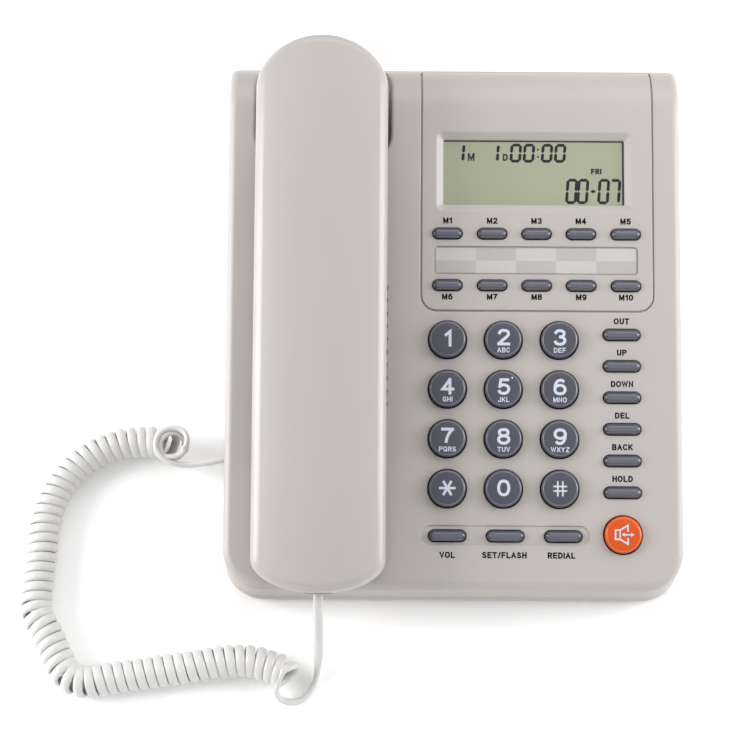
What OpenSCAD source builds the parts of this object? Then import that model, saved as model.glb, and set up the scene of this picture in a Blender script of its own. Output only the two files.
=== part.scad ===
// Corded desk telephone: sloped base, bar handset and coiled handset cord.
// The origin is on the table, under the middle of the base and handset.
// +X is to the right of the keys, +Y runs to the back, +Z is up.

/* [Base] */
// Width of the base across X
base_w = 182; // [178:1:188]
// Depth of the base from its front wall to its back wall
base_d = 213.1; // [212:0.1:214]
// Height of the sloped face at the front wall
front_h = 22; // [21:0.5:25]
// Slope of the face in degrees
face_tilt = 12; // [11:0.5:13]
// Distance up the face from the front wall to the top ridge
ridge_f = 194; // [192:1:196]
// Radius of the roll from the ridge down to the back wall
roll_r = 19.3; // [18:0.1:19.5]
// Radius of the upright front corners
corner_r = 15.5; // [12:0.5:17]
// Thickness of the moulded skins
skin = 2.5; // [2:0.1:2.8]
// Height of the joint between the two base halves
split_z = 8; // [7:0.5:9]
// Height of the rubber feet
foot_h = 2; // [1.5:0.5:3]

/* [Handset] */
// Width of the handset
hs_w = 52.2; // [51:0.2:53]
// Height of the handset's crown above the face
hs_top = 29; // [28:0.5:32]
// Height of the seam between the two handset shells above the face
hs_seam = 14; // [13.5:0.5:15]

/* [Keys] */
// Diameter of a number key
digit_d = 14.8; // [14:0.1:15]
// Length of a function key
pill_l = 14.4; // [13.5:0.1:14.8]
// Width of a function key
pill_w = 4.2; // [3.8:0.1:4.6]
// Length of a memory key
memory_l = 11.4; // [11:0.1:12]
// Width of a memory key
memory_w = 4; // [3.6:0.1:4.4]
// Gap between a key and its hole
key_gap = 0.4; // [0.3:0.05:0.6]

/* [Display] */
// Width of the display panel
panel_w = 92.4; // [91:0.2:94]
// Gap round the display panel
panel_gap = 0.6; // [0.4:0.1:1]
// Size of the clear display window across X
lens_w = 72.8; // [70:0.2:75]
// Size of the clear display window up the slope
lens_l = 26.5; // [25:0.5:28]

/* [Handset cord] */
// Outer diameter of the coils
coil_d = 13; // [12:0.5:13]
// Diameter of the straight tails
tail_d = 3.4; // [3:0.1:3.6]

/* [Hidden] */
$fn = 48;
HAIR = 0.1;                       // clearance between neighbouring pieces
front_y = 4.2 - base_d / 2;       // leaves the handset and the back wall equally far from the origin
back_y = front_y + base_d;
hs_x = -52.8;                     // middle of the handset across X
panel_x = 33.4;                   // middle of the display panel across X
panel_f0 = 111;                   // lower edge of the display panel up the face
PANEL_TURN = 190;                 // where the panel starts to roll over the back
PANEL_DROP = -8.8;                // lowest edge of the panel's roll under the face
ridge_y = front_y + ridge_f * cos(face_tilt);
ridge_z = front_h + ridge_f * sin(face_tilt);
roll_y = ridge_y + roll_r * sin(face_tilt);
roll_z = ridge_z - roll_r * cos(face_tilt);
front_r = 4;                      // radius of the front edge
front_z = front_h + front_r * (tan(face_tilt) - 1 / cos(face_tilt)); // middle of the front edge
flange = 1.4;                     // rim of a key under the skin
flange_h = 1;
stem_h = 2;
mat_f = [12, 148];                // rubber mat, from and to, up the face
board_h = -10.5;                  // top of the circuit board under the face

DIGITS = ["key_1", "key_2", "key_3", "key_4", "key_5", "key_6",
          "key_7", "key_8", "key_9", "key_star", "key_0", "key_hash"];
DIGIT_COLS = [-2.5, 19.7, 42];
DIGIT_F0 = 39.5;                  // lowest row of number keys
DIGIT_STEP = 19.8;
MEMORY = [for (i = [1:10]) str("key_m", i)];
MEMORY_COLS = [-2.6, 15.3, 33.1, 50.9, 68.8];
MEMORY_ROWS = [142, 121];
SIDE = ["key_hold", "key_back", "key_delete", "key_down", "key_up", "key_out"];
SIDE_X = 66.9;
SIDE_F0 = 38.3;
SIDE_STEP = 12.6;
FRONT = ["key_volume", "key_flash", "key_redial"];
FRONT_COLS = [-2.4, 20.5, 43.4];
FRONT_F = 20.9;
SPEAKER_AT = [66.9, 21.6];
SLOTS = 10;
SLOT_F0 = 73;
SLOT_STEP = 5.2;
SCREWS = [[-85, -82], [85, -82], [-85, 90], [85, 90]];
FEET = [[-72, -74], [72, -74], [-72, 80], [72, 80]];
JACK_Y = -47.2;                   // handset jack in the left wall
JACK_Z = 14.5;
LINE_X = -20;                     // line socket in the back wall
LINE_Z = 20;

EAR_F = [173, 204];               // ear cup, from and to, up the face
EAR_W = 50;
EAR_FLOOR = -9;
EAR_WELL = [55, 44, 12];          // width, length and corner radius of the well
EAR_WELL_F = 193;
MOUTH_F = [10, 40];               // mouth cup, from and to, up the face
MOUTH_W = 40;
MOUTH_FLOOR = -8;
MOUTH_WELL = [44, 34, 9];
HS_F0 = -2.4;                     // front end of the handset up the face
HS_F1 = 217;                      // back end of the handset up the face
HS_WALL = 2.2;
GRIP_F = [46, 166];               // raised grip between the cups
GRIP_H = 11;                      // underside of the grip above the face
PLUG_H = 9.5;                     // height of the cord plug above the face
HOOK_F = 188;

LCD_AT = [32.2, 167.5, 0];        // middle of the display on the face
BEZEL = [80.8, 32.8];             // recess round the display
INDEX_AT = [32.9, 131.2, 0];      // middle of the index strip on the face
INDEX = [81.6, 11.4];
DIGIT_TOP = 3.2;                  // heights of the keys above the face
PILL_TOP = 1.9;
SPEAKER_TOP = 2.6;
SIDES = [-50, 50];                // wider than the handset
MOUTH_MID = (MOUTH_F[0] + MOUTH_F[1]) / 2;
EAR_MID = (EAR_F[0] + EAR_F[1]) / 2;

// Routes of the cord: [x, y, z] points from one end to the other.
COIL = [[-113.5, -39.2, 7.2], [-124, -37.9, 6.9], [-135, -38.9, 6.8], [-146, -43.1, 6.8],
        [-155, -50.7, 6.8], [-161, -60.7, 6.8], [-164.2, -72.7, 6.8], [-165, -85.7, 6.8],
        [-165.8, -98.7, 6.8], [-165.6, -109.2, 6.8], [-161, -117.7, 6.8], [-156.5, -126.7, 6.8],
        [-152, -134.2, 6.8], [-145, -137.1, 6.8], [-134, -135.5, 6.8], [-120, -133.3, 6.8],
        [-105, -131.1, 6.8], [-91, -128.7, 6.8], [-80, -128.5, 6.8], [-71.5, -130.9, 6.8],
        [-65, -135.7, 7]];
TAIL_HANDSET = [[-69.5, -141, 5], [-66.1, -143.6, 2.5], [-62.1, -143.9, 2], [-58.1, -142.1, 2],
                [-54.9, -137.6, 2.3], [-53.5, -133.2, 3], [-52.9, -125.5, 9], [-52.7, -119.5, 16],
                [-52.7, -115, 24], [-52.8, -111.5, 29.5], [-52.8, -107.06, 30.71]];
TAIL_BASE = [[-119.5, -42.3, 9], [-118.3, -45.8, 10], [-114.7, -48, 10], [-110.5, -48.9, 10.4],
             [-106.3, -48.9, 11], [-102, -48.6, 12], [-97.7, -48.3, 13], [-90.9, -47.2, 14.5]];

WARM = [0.78, 0.765, 0.745];
PALE = [0.87, 0.86, 0.84];
SLATE = [0.39, 0.39, 0.44];
ORANGE = [0.92, 0.41, 0.14];
CORD = [0.84, 0.84, 0.82];
DARK = [0.12, 0.12, 0.13];
STEEL = [0.7, 0.7, 0.72];

// ---- frames and plain shapes ----

// Puts children in the face's frame: X, distance up the slope, height off the face.
module on_face() {
    translate([0, front_y, front_h]) rotate([face_tilt, 0, 0]) children();
}

module block(x, f, h) {
    translate([x[0], f[0], h[0]]) cube([x[1] - x[0], f[1] - f[0], h[1] - h[0]]);
}

// Flat outline of a rectangle with rounded corners, centred on the origin.
module rounded(w, l, r) {
    square([w - 2 * r, l], center = true);
    square([w, l - 2 * r], center = true);
    for (sx = [-1, 1], sy = [-1, 1])
        translate([sx * (w / 2 - r), sy * (l / 2 - r)]) circle(r);
}

module slab(w, l, r, h) {
    translate([0, 0, h[0]]) linear_extrude(h[1] - h[0]) rounded(w, l, r);
}

function arc(c, r, a0, a1, n) = [for (i = [0:n]) let (a = a0 + (a1 - a0) * i / n)
                                 [c[0] + r * cos(a), c[1] + r * sin(a)]];

// ---- sweeping a tube along a route ----

function unit(v) = v / norm(v);
function spline(p0, p1, p2, p3, t) =
    0.5 * (2 * p1 + (p2 - p0) * t + (2 * p0 - 5 * p1 + 4 * p2 - p3) * t * t
           + (3 * p1 - p0 - 3 * p2 + p3) * t * t * t);
function route(p, steps) = [for (i = [0:len(p) - 2], s = [0:steps - 1])
    spline(p[max(i - 1, 0)], p[i], p[i + 1], p[min(i + 2, len(p) - 1)], s / steps),
    p[len(p) - 1]];
function heading(p, i) = unit(p[min(i + 1, len(p) - 1)] - p[max(i - 1, 0)]);
function square_to(u, t) = unit(u - (u * t) * t);
// Reference direction of each ring, carried along so that the tube doesn't twist.
function uprights(p) = [for (i = 0, u = square_to([0.2, 0.1, 1], heading(p, 0)); i < len(p);
                             i = i + 1, u = square_to(u, heading(p, i))) u];
function ring(p, i, upright, r, n) =
    let (t = heading(p, i), u = square_to(upright, t), v = cross(u, t))
    [for (k = [0:n - 1]) p[i] + r * (cos(360 * k / n) * u + sin(360 * k / n) * v)];

module tube(points, d, steps, sides) {
    p = route(points, steps);
    rings = len(p);
    up = uprights(p);
    verts = [for (i = [0:rings - 1]) each ring(p, i, up[i], d / 2, sides)];
    walls = [for (i = [0:rings - 2], k = [0:sides - 1]) let (m = (k + 1) % sides)
             [i * sides + k, i * sides + m, (i + 1) * sides + m, (i + 1) * sides + k]];
    first = [for (k = [sides - 1:-1:0]) k];
    last = [for (k = [0:sides - 1]) (rings - 1) * sides + k];
    polyhedron(verts, concat([first], walls, [last]), convexity = 10);
}

// ---- housing envelope ----

// Side outline of the housing, moved inwards by t and starting at height z0.
function profile(t, z0) = concat(
    [[front_y + t, z0]],
    arc([front_y + front_r, front_z], front_r - t, 180, 90 + face_tilt, 6),
    arc([roll_y, roll_z], roll_r - t, 90 + face_tilt, 0, 14),
    [[back_y - t, z0]]);

module plan(t) {
    mid = (front_y + back_y) / 2;
    r = corner_r - t;
    back_r = 5 - t / 2;
    translate([0, mid]) difference() {
        rounded(base_w - 2 * t, base_d - 2 * t, back_r);
        for (s = [-1, 1]) difference() {
            translate([s * (base_w / 2 - t - r / 2), -base_d / 2 + t + r / 2])
                square([r + HAIR, r + HAIR], center = true);
            translate([s * (base_w / 2 - t - r), -base_d / 2 + t + r]) circle(r);
        }
    }
}

module envelope(t, z0) {
    intersection() {
        translate([0, 0, z0]) linear_extrude(100) plan(t);
        rotate([90, 0, 90]) linear_extrude(base_w + 2, center = true)
            polygon(profile(t, z0));
    }
}

// Flat outline of the display panel on the slope, grown by g.
module panel_outline(g) {
    length = 90;
    translate([panel_x, panel_f0 + length / 2])
        rounded(panel_w + 2 * g, length + 2 * g, 6.5 + g);
}

// Space of the panel: the slope from depth low outwards, and the roll over the back.
module panel_space(g, low) {
    on_face() intersection() {
        translate([0, 0, low]) linear_extrude(40) panel_outline(g);
        block([-100, 100], [0, PANEL_TURN], [-20, 60]);
    }
    on_face() block([panel_x - panel_w / 2 - g, panel_x + panel_w / 2 + g],
                    [PANEL_TURN, 260], [PANEL_DROP - g, 60]);
}

// ---- base ----

module base_bottom() {
    color(WARM) difference() {
        union() {
            difference() {
                translate([0, 0, foot_h]) linear_extrude(split_z - foot_h) plan(0);
                translate([0, 0, foot_h + skin]) linear_extrude(split_z) plan(skin);
            }
            for (p = SCREWS) translate([p[0], p[1], foot_h]) cylinder(h = 5.4, r = 5);
        }
        for (p = SCREWS) translate([p[0], p[1], foot_h - 1]) {
            cylinder(h = 10, r = 1.8);
            cylinder(h = 3.4, r = 3.3);
        }
    }
}

module key_holes() {
    for (i = [0:11]) digit_at(i) cylinder(h = 12, r = digit_d / 2 + key_gap, center = true);
    translate([SPEAKER_AT[0], SPEAKER_AT[1], 0])
        cylinder(h = 12, r = digit_d / 2 + key_gap, center = true);
    for (i = [0:5]) side_at(i) pill_hole(pill_l, pill_w);
    for (i = [0:2]) front_at(i) pill_hole(pill_l, pill_w);
}

module pill_hole(l, w) {
    slab(l + 2 * key_gap, w + 2 * key_gap, w / 2 + key_gap - 0.01, [-6, 6]);
}

module digit_at(i) {
    translate([DIGIT_COLS[i % 3], DIGIT_F0 + (3 - floor(i / 3)) * DIGIT_STEP, 0]) children();
}

module memory_at(i) {
    translate([MEMORY_COLS[i % 5], MEMORY_ROWS[floor(i / 5)], 0]) children();
}

module side_at(i) {
    translate([SIDE_X, SIDE_F0 + i * SIDE_STEP, 0]) children();
}

module front_at(i) {
    translate([FRONT_COLS[i], FRONT_F, 0]) children();
}

// Room for a cup: an outline centred at f, grown by g, from height h[0] to h[1].
module well_space(size, f, g, h) {
    translate([hs_x, f, 0]) slab(size[0] + 2 * g, size[1] + 2 * g, size[2] + g, h);
}

module ear_space(g, h) {
    on_face() well_space(EAR_WELL, EAR_WELL_F, g, h);
}

module mouth_space(g, h) {
    on_face() well_space(MOUTH_WELL, MOUTH_MID, g, h);
}

module base_top() {
    color(WARM) difference() {
        union() {
            difference() {
                envelope(0, split_z);
                envelope(skin, split_z - 1);
            }
            intersection() {
                envelope(0, split_z);
                union() {
                    ear_space(2, [EAR_FLOOR - 2, 0]);
                    mouth_space(2, [MOUTH_FLOOR - 2, 0]);
                }
            }
            for (p = SCREWS) translate([p[0], p[1], split_z]) cylinder(h = 14, r = 4);
            panel_ledge();
        }
        ear_space(0, [EAR_FLOOR, 60]);
        mouth_space(0, [MOUTH_FLOOR, 60]);
        panel_space(panel_gap, -skin);
        on_face() {
            key_holes();
            speaker_slots();
            translate([hs_x, HOOK_F, -12]) cube([11, 7, 12], center = true);
        }
        for (p = SCREWS) translate([p[0], p[1], 0]) cylinder(h = split_z + 12, r = 1.5);
        translate([-base_w / 2 - 1, JACK_Y - 5, JACK_Z - 4.6]) cube([10, 10, 9.2]);
        translate([LINE_X - 7, back_y - 8, LINE_Z - 6]) cube([14, 10, 12]);
    }
}

// Rim under the display panel that carries its edges.
module panel_ledge() {
    on_face() difference() {
        translate([0, 0, -skin - 1.5]) linear_extrude(1.5) panel_outline(3);
        translate([0, 0, -skin - 2]) linear_extrude(3) panel_outline(-3);
        block([-100, 100], [184, 260], [-20, 10]);
    }
}

module speaker_slots() {
    for (i = [0:SLOTS - 1]) translate([hs_x, SLOT_F0 + i * SLOT_STEP, 0])
        slab(53, 2, 0.99, [-5, 2]);
}

module display_panel() {
    color(WARM) difference() {
        intersection() {
            difference() {
                envelope(0, split_z);
                envelope(skin, split_z - 1);
            }
            panel_space(0, -skin);
        }
        on_face() {
            translate(LCD_AT) slab(BEZEL[0], BEZEL[1], 1, [-1, 5]);
            translate(LCD_AT) slab(lens_w, lens_l, 0.5, [-6, 5]);
            translate(INDEX_AT) slab(INDEX[0], INDEX[1], 0.8, [-1, 5]);
            for (i = [0:9]) memory_at(i) pill_hole(memory_l, memory_w);
        }
    }
}

module lcd_window() {
    color("lightgray", 0.4) on_face() translate(LCD_AT)
        slab(BEZEL[0] - 2 * HAIR, BEZEL[1] - 2 * HAIR, 0.9, [-1, -0.2]);
}

module lcd_module() {
    color([0.7, 0.72, 0.6]) on_face() translate(LCD_AT)
        slab(lens_w + 4, lens_l + 3.5, 0.5, [-5.6, -2.6]);
}

module index_window() {
    color("white", 0.4) on_face() translate(INDEX_AT)
        slab(INDEX[0] - 2 * HAIR, INDEX[1] - 2 * HAIR, 0.7, [-0.5, -0.1]);
}

module index_card() {
    color("ivory") on_face() translate(INDEX_AT)
        slab(INDEX[0] - 0.6, INDEX[1] - 0.6, 0.6, [-0.95, -0.55]);
}

module keypad_mat() {
    color(DARK) on_face() {
        block([-12, 77], mat_f, [board_h + 0.1, board_h + 1.3]);
        for (i = [0:11]) digit_at(i) dome();
        for (i = [0:9]) memory_at(i) dome();
        for (i = [0:5]) side_at(i) dome();
        for (i = [0:2]) front_at(i) dome();
        translate([SPEAKER_AT[0], SPEAKER_AT[1], 0]) dome();
    }
}

module dome() {
    translate([0, 0, board_h + 1]) cylinder(h = 2.4, r1 = 3.4, r2 = 1.8);
}

module main_board() {
    color("darkgreen") on_face() {
        block([-14, 80], [8, 178], [board_h - 1.6, board_h]);
        block([0, 14], [60, 74], [board_h - 3.2, board_h - 1.5]);
        block([30, 39], [40, 60], [board_h - 3.2, board_h - 1.5]);
    }
}

module base_speaker() {
    color(DARK) on_face() translate([hs_x, 96, 0]) {
        translate([0, 0, -6.1]) cylinder(h = 2.5, r = 25);
        translate([0, 0, -12]) cylinder(h = 6, r1 = 12, r2 = 23);
        translate([0, 0, -18]) cylinder(h = 6.1, r = 12);
    }
}

module jack_box(w, d, h, hole_w, hole_h, wall) {
    difference() {
        translate([-w / 2, 0, -h / 2]) cube([w, d, h]);
        translate([-hole_w / 2, -1, -hole_h / 2]) cube([hole_w, d + 1 - wall, hole_h]);
    }
}

module line_jack() {
    color(DARK) translate([LINE_X, back_y - 0.4, LINE_Z]) rotate([0, 0, 180])
        jack_box(13.8, 16, 11.8, 9.7, 6.8, 2);
}

module cord_jack() {
    color(DARK) translate([-base_w / 2 + 0.4, JACK_Y, JACK_Z]) rotate([0, 0, -90])
        jack_box(9.8, 15, 9, 7.9, 6.9, 2);
}

module hook_plunger() {
    color(PALE) on_face() translate([hs_x, HOOK_F, 0]) {
        block([-5.2, 5.2], [-3.2, 3.2], [-20, EAR_FLOOR + HAIR]);
        block([-7, 7], [-5, 5], [-18, -16.6]);
    }
}

module hook_switch() {
    color(DARK) on_face() translate([hs_x, HOOK_F, 0]) {
        block([-9, 9], [-7, 7], [-28, -21]);
        block([-16, 16], [-12, 12], [-29.6, -28]);
    }
}

module rubber_feet() {
    color(DARK) for (p = FEET) translate([p[0], p[1], 0]) cylinder(h = foot_h, r = 6);
}

module base_screws() {
    color(STEEL) for (p = SCREWS) translate([p[0], p[1], foot_h]) {
        translate([0, 0, 2.4]) cylinder(h = 14, r = 1.45);
        difference() {
            translate([0, 0, 0.4]) cylinder(h = 2, r = 2.9);
            for (a = [0, 90]) rotate(a) cube([3.6, 0.7, 2], center = true);
        }
    }
}

// ---- keys ----

// Round key: rim under the skin, straight side, bevelled top.
module round_key(d, top) {
    r = d / 2;
    low = -skin - HAIR;
    rotate_extrude() polygon([[0, low - flange_h - stem_h], [3, low - flange_h - stem_h],
        [3, low - flange_h], [r + flange, low - flange_h], [r + flange, low], [r, low],
        [r, top - 1.2], [r - 0.35, top - 0.5], [r - 1.1, top], [0, top]]);
}

// Long key with round ends: rim under the skin and a domed top.
module pill_key(l, w, top) {
    r = w / 2;
    low = -skin - HAIR;
    side_shape = [[0, low - flange_h - stem_h], [r - 0.4, low - flange_h - stem_h],
                  [r - 0.4, low - flange_h], [r + flange / 2, low - flange_h],
                  [r + flange / 2, low], [r, low], [r, top - 1],
                  [r * 0.86, top - 0.45], [r * 0.5, top - 0.1], [0, top]];
    for (s = [-1, 1]) translate([s * (l / 2 - r), 0, 0]) rotate([0, 0, s * 90 - 180])
        rotate_extrude(angle = 180) polygon(side_shape);
    rotate([90, 0, 90]) linear_extrude(l - w, center = true)
        union() {
            polygon(side_shape);
            mirror([1, 0]) polygon(side_shape);
        }
}

module digit_key(i) {
    color(SLATE) on_face() digit_at(i) round_key(digit_d, DIGIT_TOP);
}

module memory_key(i) {
    color(SLATE) on_face() memory_at(i) pill_key(memory_l, memory_w, PILL_TOP);
}

module side_key(i) {
    color(SLATE) on_face() side_at(i) pill_key(pill_l, pill_w, PILL_TOP);
}

module front_key(i) {
    color(SLATE) on_face() front_at(i) pill_key(pill_l, pill_w, PILL_TOP);
}

module key_speaker() {
    color(ORANGE) on_face() translate([SPEAKER_AT[0], SPEAKER_AT[1], 0])
        round_key(digit_d, SPEAKER_TOP);
}

// ---- handset ----

// Flat outline of the handset, moved inwards by t.
module handset_outline(t) {
    tip_r = 31;
    end_r = 56;
    mid = (HS_F0 + HS_F1) / 2;
    translate([hs_x, 0]) intersection() {
        translate([0, mid]) square([hs_w - 2 * t, HS_F1 - HS_F0], center = true);
        union() {
            translate([0, HS_F1 - tip_r]) circle(tip_r - t, $fn = 96);
            translate([SIDES[0], -50]) square([100, HS_F1 - tip_r + 50]);
        }
        union() {
            translate([0, HS_F0 + end_r]) circle(end_r - t, $fn = 96);
            translate([SIDES[0], HS_F0 + end_r]) square([100, 300]);
        }
    }
}

// Solid of the handset's outside above the seam, moved inwards by t.
module handset_crown(t, low) {
    crown_r = 70;
    intersection() {
        translate([0, 0, low]) linear_extrude(60) handset_outline(t);
        translate([hs_x, -20, hs_top - crown_r]) rotate([-90, 0, 0])
            cylinder(h = 300, r = crown_r - t, $fn = 120);
    }
}

module handset_cover() {
    color(PALE) on_face() difference() {
        handset_crown(0, hs_seam);
        handset_crown(HS_WALL, hs_seam - 1);
        plug_hole();
    }
}

module plug_hole() {
    translate([hs_x, HS_F0, PLUG_H]) cube([9, 12, 8], center = true);
}

// Underside outline of the handset along its length: [distance up the face, height].
function underside(t) = [
    [HS_F0, 3 + t], [MOUTH_F[0], 2 + t], [MOUTH_F[1], 2 + t], [GRIP_F[0], GRIP_H + t],
    [GRIP_F[1], GRIP_H + t], [EAR_F[0], 2 + t], [EAR_F[1], 2 + t], [HS_F1, 5 + t]];

module under_solid(t, top) {
    translate([hs_x, 0, 0]) rotate([90, 0, 90]) linear_extrude(80, center = true)
        polygon(concat(underside(t), [[HS_F1, top], [HS_F0, top]]));
}

module cup(w, f, t, h) {
    translate([hs_x, (f[0] + f[1]) / 2, 0]) slab(w - 2 * t, f[1] - f[0] - 2 * t, 7 - t, h);
}

module handset_face() {
    color(PALE) on_face() difference() {
        union() {
            intersection() {
                translate([0, 0, -20]) linear_extrude(20 + hs_seam) handset_outline(0);
                under_solid(0, hs_seam);
            }
            cup(EAR_W, EAR_F, 0, [EAR_FLOOR + 2 * HAIR, 3]);
            cup(MOUTH_W, MOUTH_F, 0, [MOUTH_FLOOR + 2 * HAIR, 3]);
        }
        intersection() {
            translate([0, 0, -20]) linear_extrude(60) handset_outline(HS_WALL);
            under_solid(HS_WALL, hs_seam + 1);
        }
        cup(EAR_W, EAR_F, HS_WALL, [EAR_FLOOR + 2, 6]);
        cup(MOUTH_W, MOUTH_F, HS_WALL, [MOUTH_FLOOR + 2, 6]);
        sound_holes(EAR_F, EAR_FLOOR);
        translate([hs_x, MOUTH_MID, MOUTH_FLOOR]) cube([8, 1.6, 6], center = true);
        plug_hole();
        for (s = [-1, 1]) translate([hs_x + s * 14, MOUTH_MID, MOUTH_FLOOR])
            cylinder(h = 6, r = 1.5, center = true);
    }
}

module sound_holes(f, floor_h) {
    translate([hs_x, (f[0] + f[1]) / 2, floor_h]) {
        cylinder(h = 6, r = 0.9, center = true);
        for (a = [0:60:300]) rotate(a) translate([4.5, 0, 0])
            cylinder(h = 6, r = 0.9, center = true);
    }
}

module receiver() {
    color(DARK) on_face() translate([hs_x, EAR_MID, EAR_FLOOR + 2])
        cylinder(h = 8, r = 12.8);
}

module microphone() {
    color(STEEL) on_face() translate([hs_x, MOUTH_MID, MOUTH_FLOOR + 2]) cylinder(h = 4, r = 4.8);
}

module handset_socket() {
    color(DARK) on_face() translate([hs_x, HS_F0 + HS_WALL + 0.5, PLUG_H])
        jack_box(11, 15, 7.8, 7.9, 6.9, 2);
}

module handset_screws() {
    color(STEEL) on_face() for (s = [-1, 1]) translate([hs_x + s * 14, MOUTH_MID, MOUTH_FLOOR]) {
        translate([0, 0, 0.4]) cylinder(h = 12, r = 1.4);
        translate([0, 0, 2]) cylinder(h = 1.4, r = 2.6);
    }
}

// ---- cord ----

module cord_plug_handset() {
    color("whitesmoke", 0.7) on_face() translate([hs_x, HS_F0, PLUG_H]) {
        block([-3.8, 3.8], [2.6, 15], [-3.3, 3.3]);
        translate([0, -0.1, 0]) rotate([-90, 0, 0]) cylinder(h = 3, r1 = 2, r2 = 2.8);
    }
}

module cord_plug_base() {
    color("whitesmoke", 0.7) translate([-base_w / 2, JACK_Y, JACK_Z])
        block([0.2, 13], [-3.8, 3.8], [-3.3, 3.3]);
}

module cord_coil() {
    color(CORD) tube(COIL, coil_d, 2, 12);
}

module cord_tail_handset() {
    color(CORD) tube(TAIL_HANDSET, tail_d, 2, 8);
}

module cord_tail_base() {
    color(CORD) tube(TAIL_BASE, tail_d, 2, 8);
}

base_bottom();
base_top();
display_panel();
lcd_window();
lcd_module();
index_window();
index_card();
keypad_mat();
main_board();
base_speaker();
line_jack();
cord_jack();
hook_plunger();
hook_switch();
rubber_feet();
base_screws();
handset_cover();
handset_face();
receiver();
microphone();
handset_socket();
handset_screws();
cord_plug_handset();
cord_plug_base();
cord_tail_handset();
cord_coil();
cord_tail_base();
key_speaker();
for (i = [0:11]) digit_key(i);
for (i = [0:9]) memory_key(i);
for (i = [0:5]) side_key(i);
for (i = [0:2]) front_key(i);
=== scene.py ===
"""Looks of a corded desk telephone: shells, keys, display, legends, cord and studio."""
import math

import bmesh
import bpy
from mathutils import Matrix, Vector
from mathutils.geometry import delaunay_2d_cdt


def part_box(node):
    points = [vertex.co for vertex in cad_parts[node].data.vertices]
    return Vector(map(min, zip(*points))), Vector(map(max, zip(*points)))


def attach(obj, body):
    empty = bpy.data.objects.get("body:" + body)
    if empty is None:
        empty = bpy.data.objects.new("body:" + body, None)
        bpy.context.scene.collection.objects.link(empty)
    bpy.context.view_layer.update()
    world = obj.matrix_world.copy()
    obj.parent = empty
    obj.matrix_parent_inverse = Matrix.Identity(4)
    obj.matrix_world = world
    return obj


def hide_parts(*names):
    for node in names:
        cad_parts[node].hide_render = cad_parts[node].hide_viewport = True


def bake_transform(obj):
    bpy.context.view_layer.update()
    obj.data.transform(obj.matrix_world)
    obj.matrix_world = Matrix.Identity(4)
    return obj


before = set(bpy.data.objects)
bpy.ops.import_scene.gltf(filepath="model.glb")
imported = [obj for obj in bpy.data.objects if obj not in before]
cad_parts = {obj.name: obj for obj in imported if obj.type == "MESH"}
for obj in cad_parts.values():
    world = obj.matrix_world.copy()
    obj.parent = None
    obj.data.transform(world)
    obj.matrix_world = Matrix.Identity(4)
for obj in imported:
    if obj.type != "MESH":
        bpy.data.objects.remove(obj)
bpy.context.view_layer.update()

MM = 0.001

# ---- driving dimensions, in millimetres and degrees ----
TILT = math.radians(12)
FRONT_H = 22
RIDGE_F = 194
ROLL_R = 19.3
SPLIT_Z = 8
FOOT_Z = 2
CORNER_R = 15.5
BACK_CORNER_R = 5
EDGE_R = 3.2
SEAM = 0.15
WELD = 2e-6

LOW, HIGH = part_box("base_top")
HALF_W = HIGH[0] / MM
FRONT_Y = LOW[1] / MM
BACK_Y = HIGH[1] / MM
ROLL_Y = FRONT_Y + RIDGE_F * math.cos(TILT) + ROLL_R * math.sin(TILT)

HS_X = -52.8
HS_HALF = 26.1
HS_TOP = 29
HS_CROWN_R = 70
HS_SEAM = 14
HS_F0 = -2.4
HS_F1 = 217
HS_FRONT_ARC = 13
HS_BACK_ARC = 21
EAR_MID = 188.5
EAR_WELL_F = 193
EAR_WELL = (55, 44, 12)
EAR_FLOOR = -9
MOUTH_MID = 25
MOUTH_WELL = (44, 34, 9)
MOUTH_FLOOR = -8
WELL_LIP_R, WELL_FOOT_R, WELL_DRAFT = 1.2, 1.5, 0.6
EAR_CUP, MOUTH_CUP, CUP_EDGE = (49, 31), (39, 29), 1.6
HOOK_MID, HOOK_SIZE = (HS_X, 188), (11, 7)
LOW_ENDS, GRIP = 2.4, 11
SLOT_F0, SLOT_STEP, SLOT_SIZE = 73, 5.2, (53, 2)

DIGITS = ["1", "2", "3", "4", "5", "6", "7", "8", "9", "star", "0", "hash"]
LETTERS = {"2": "ABC", "3": "DEF", "4": "GHI", "5": "JKL", "6": "MNO",
           "7": "PQRS", "8": "TUV", "9": "WXYZ"}
DIGIT_COLS = (-2.5, 19.7, 42)
DIGIT_F0, DIGIT_STEP, DIGIT_R, DIGIT_TOP = 39.5, 19.8, 7.4, 3.2
MEMORY_COLS = (-2.6, 15.3, 33.1, 50.9, 68.8)
MEMORY_ROWS = (142, 121)
MEMORY_SIZE = (11.4, 4)
SIDE_KEYS = ("hold", "back", "delete", "down", "up", "out")
SIDE_LABELS = ("HOLD", "BACK", "DEL", "DOWN", "UP", "OUT")
SIDE_X, SIDE_F0, SIDE_STEP = 66.9, 38.3, 12.6
FRONT_KEYS = ("volume", "flash", "redial")
FRONT_LABELS = ("VOL", "SET/FLASH", "REDIAL")
FRONT_COLS, FRONT_F = (-2.4, 20.5, 43.4), 20.9
PILL_SIZE = (14.4, 4.2)
PILL_TOP = 1.9
SPEAKER_KEY, SPEAKER_TOP = (66.9, 21.6), 2.6
KEY_GAP = 0.4
TRAY_MID, TRAY_SIZE, TRAY_DEPTH = (20.5, 21.1), (66.5, 7.6), 0.5
LABEL_TALL, LABEL_STROKE, LABEL_WIDE, LABEL_GAP = 2.45, 0.56, 1.05, 0.24
DIGIT_TALL, DIGIT_STROKE, DIGIT_WIDE = 6.6, 1.15, 1.15
LETTER_TALL, LETTER_STROKE, LETTER_WIDE, LETTER_GAP = 2, 0.36, 1.05, 0.26
INK, LAYER = 0.02, 0.006

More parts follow.
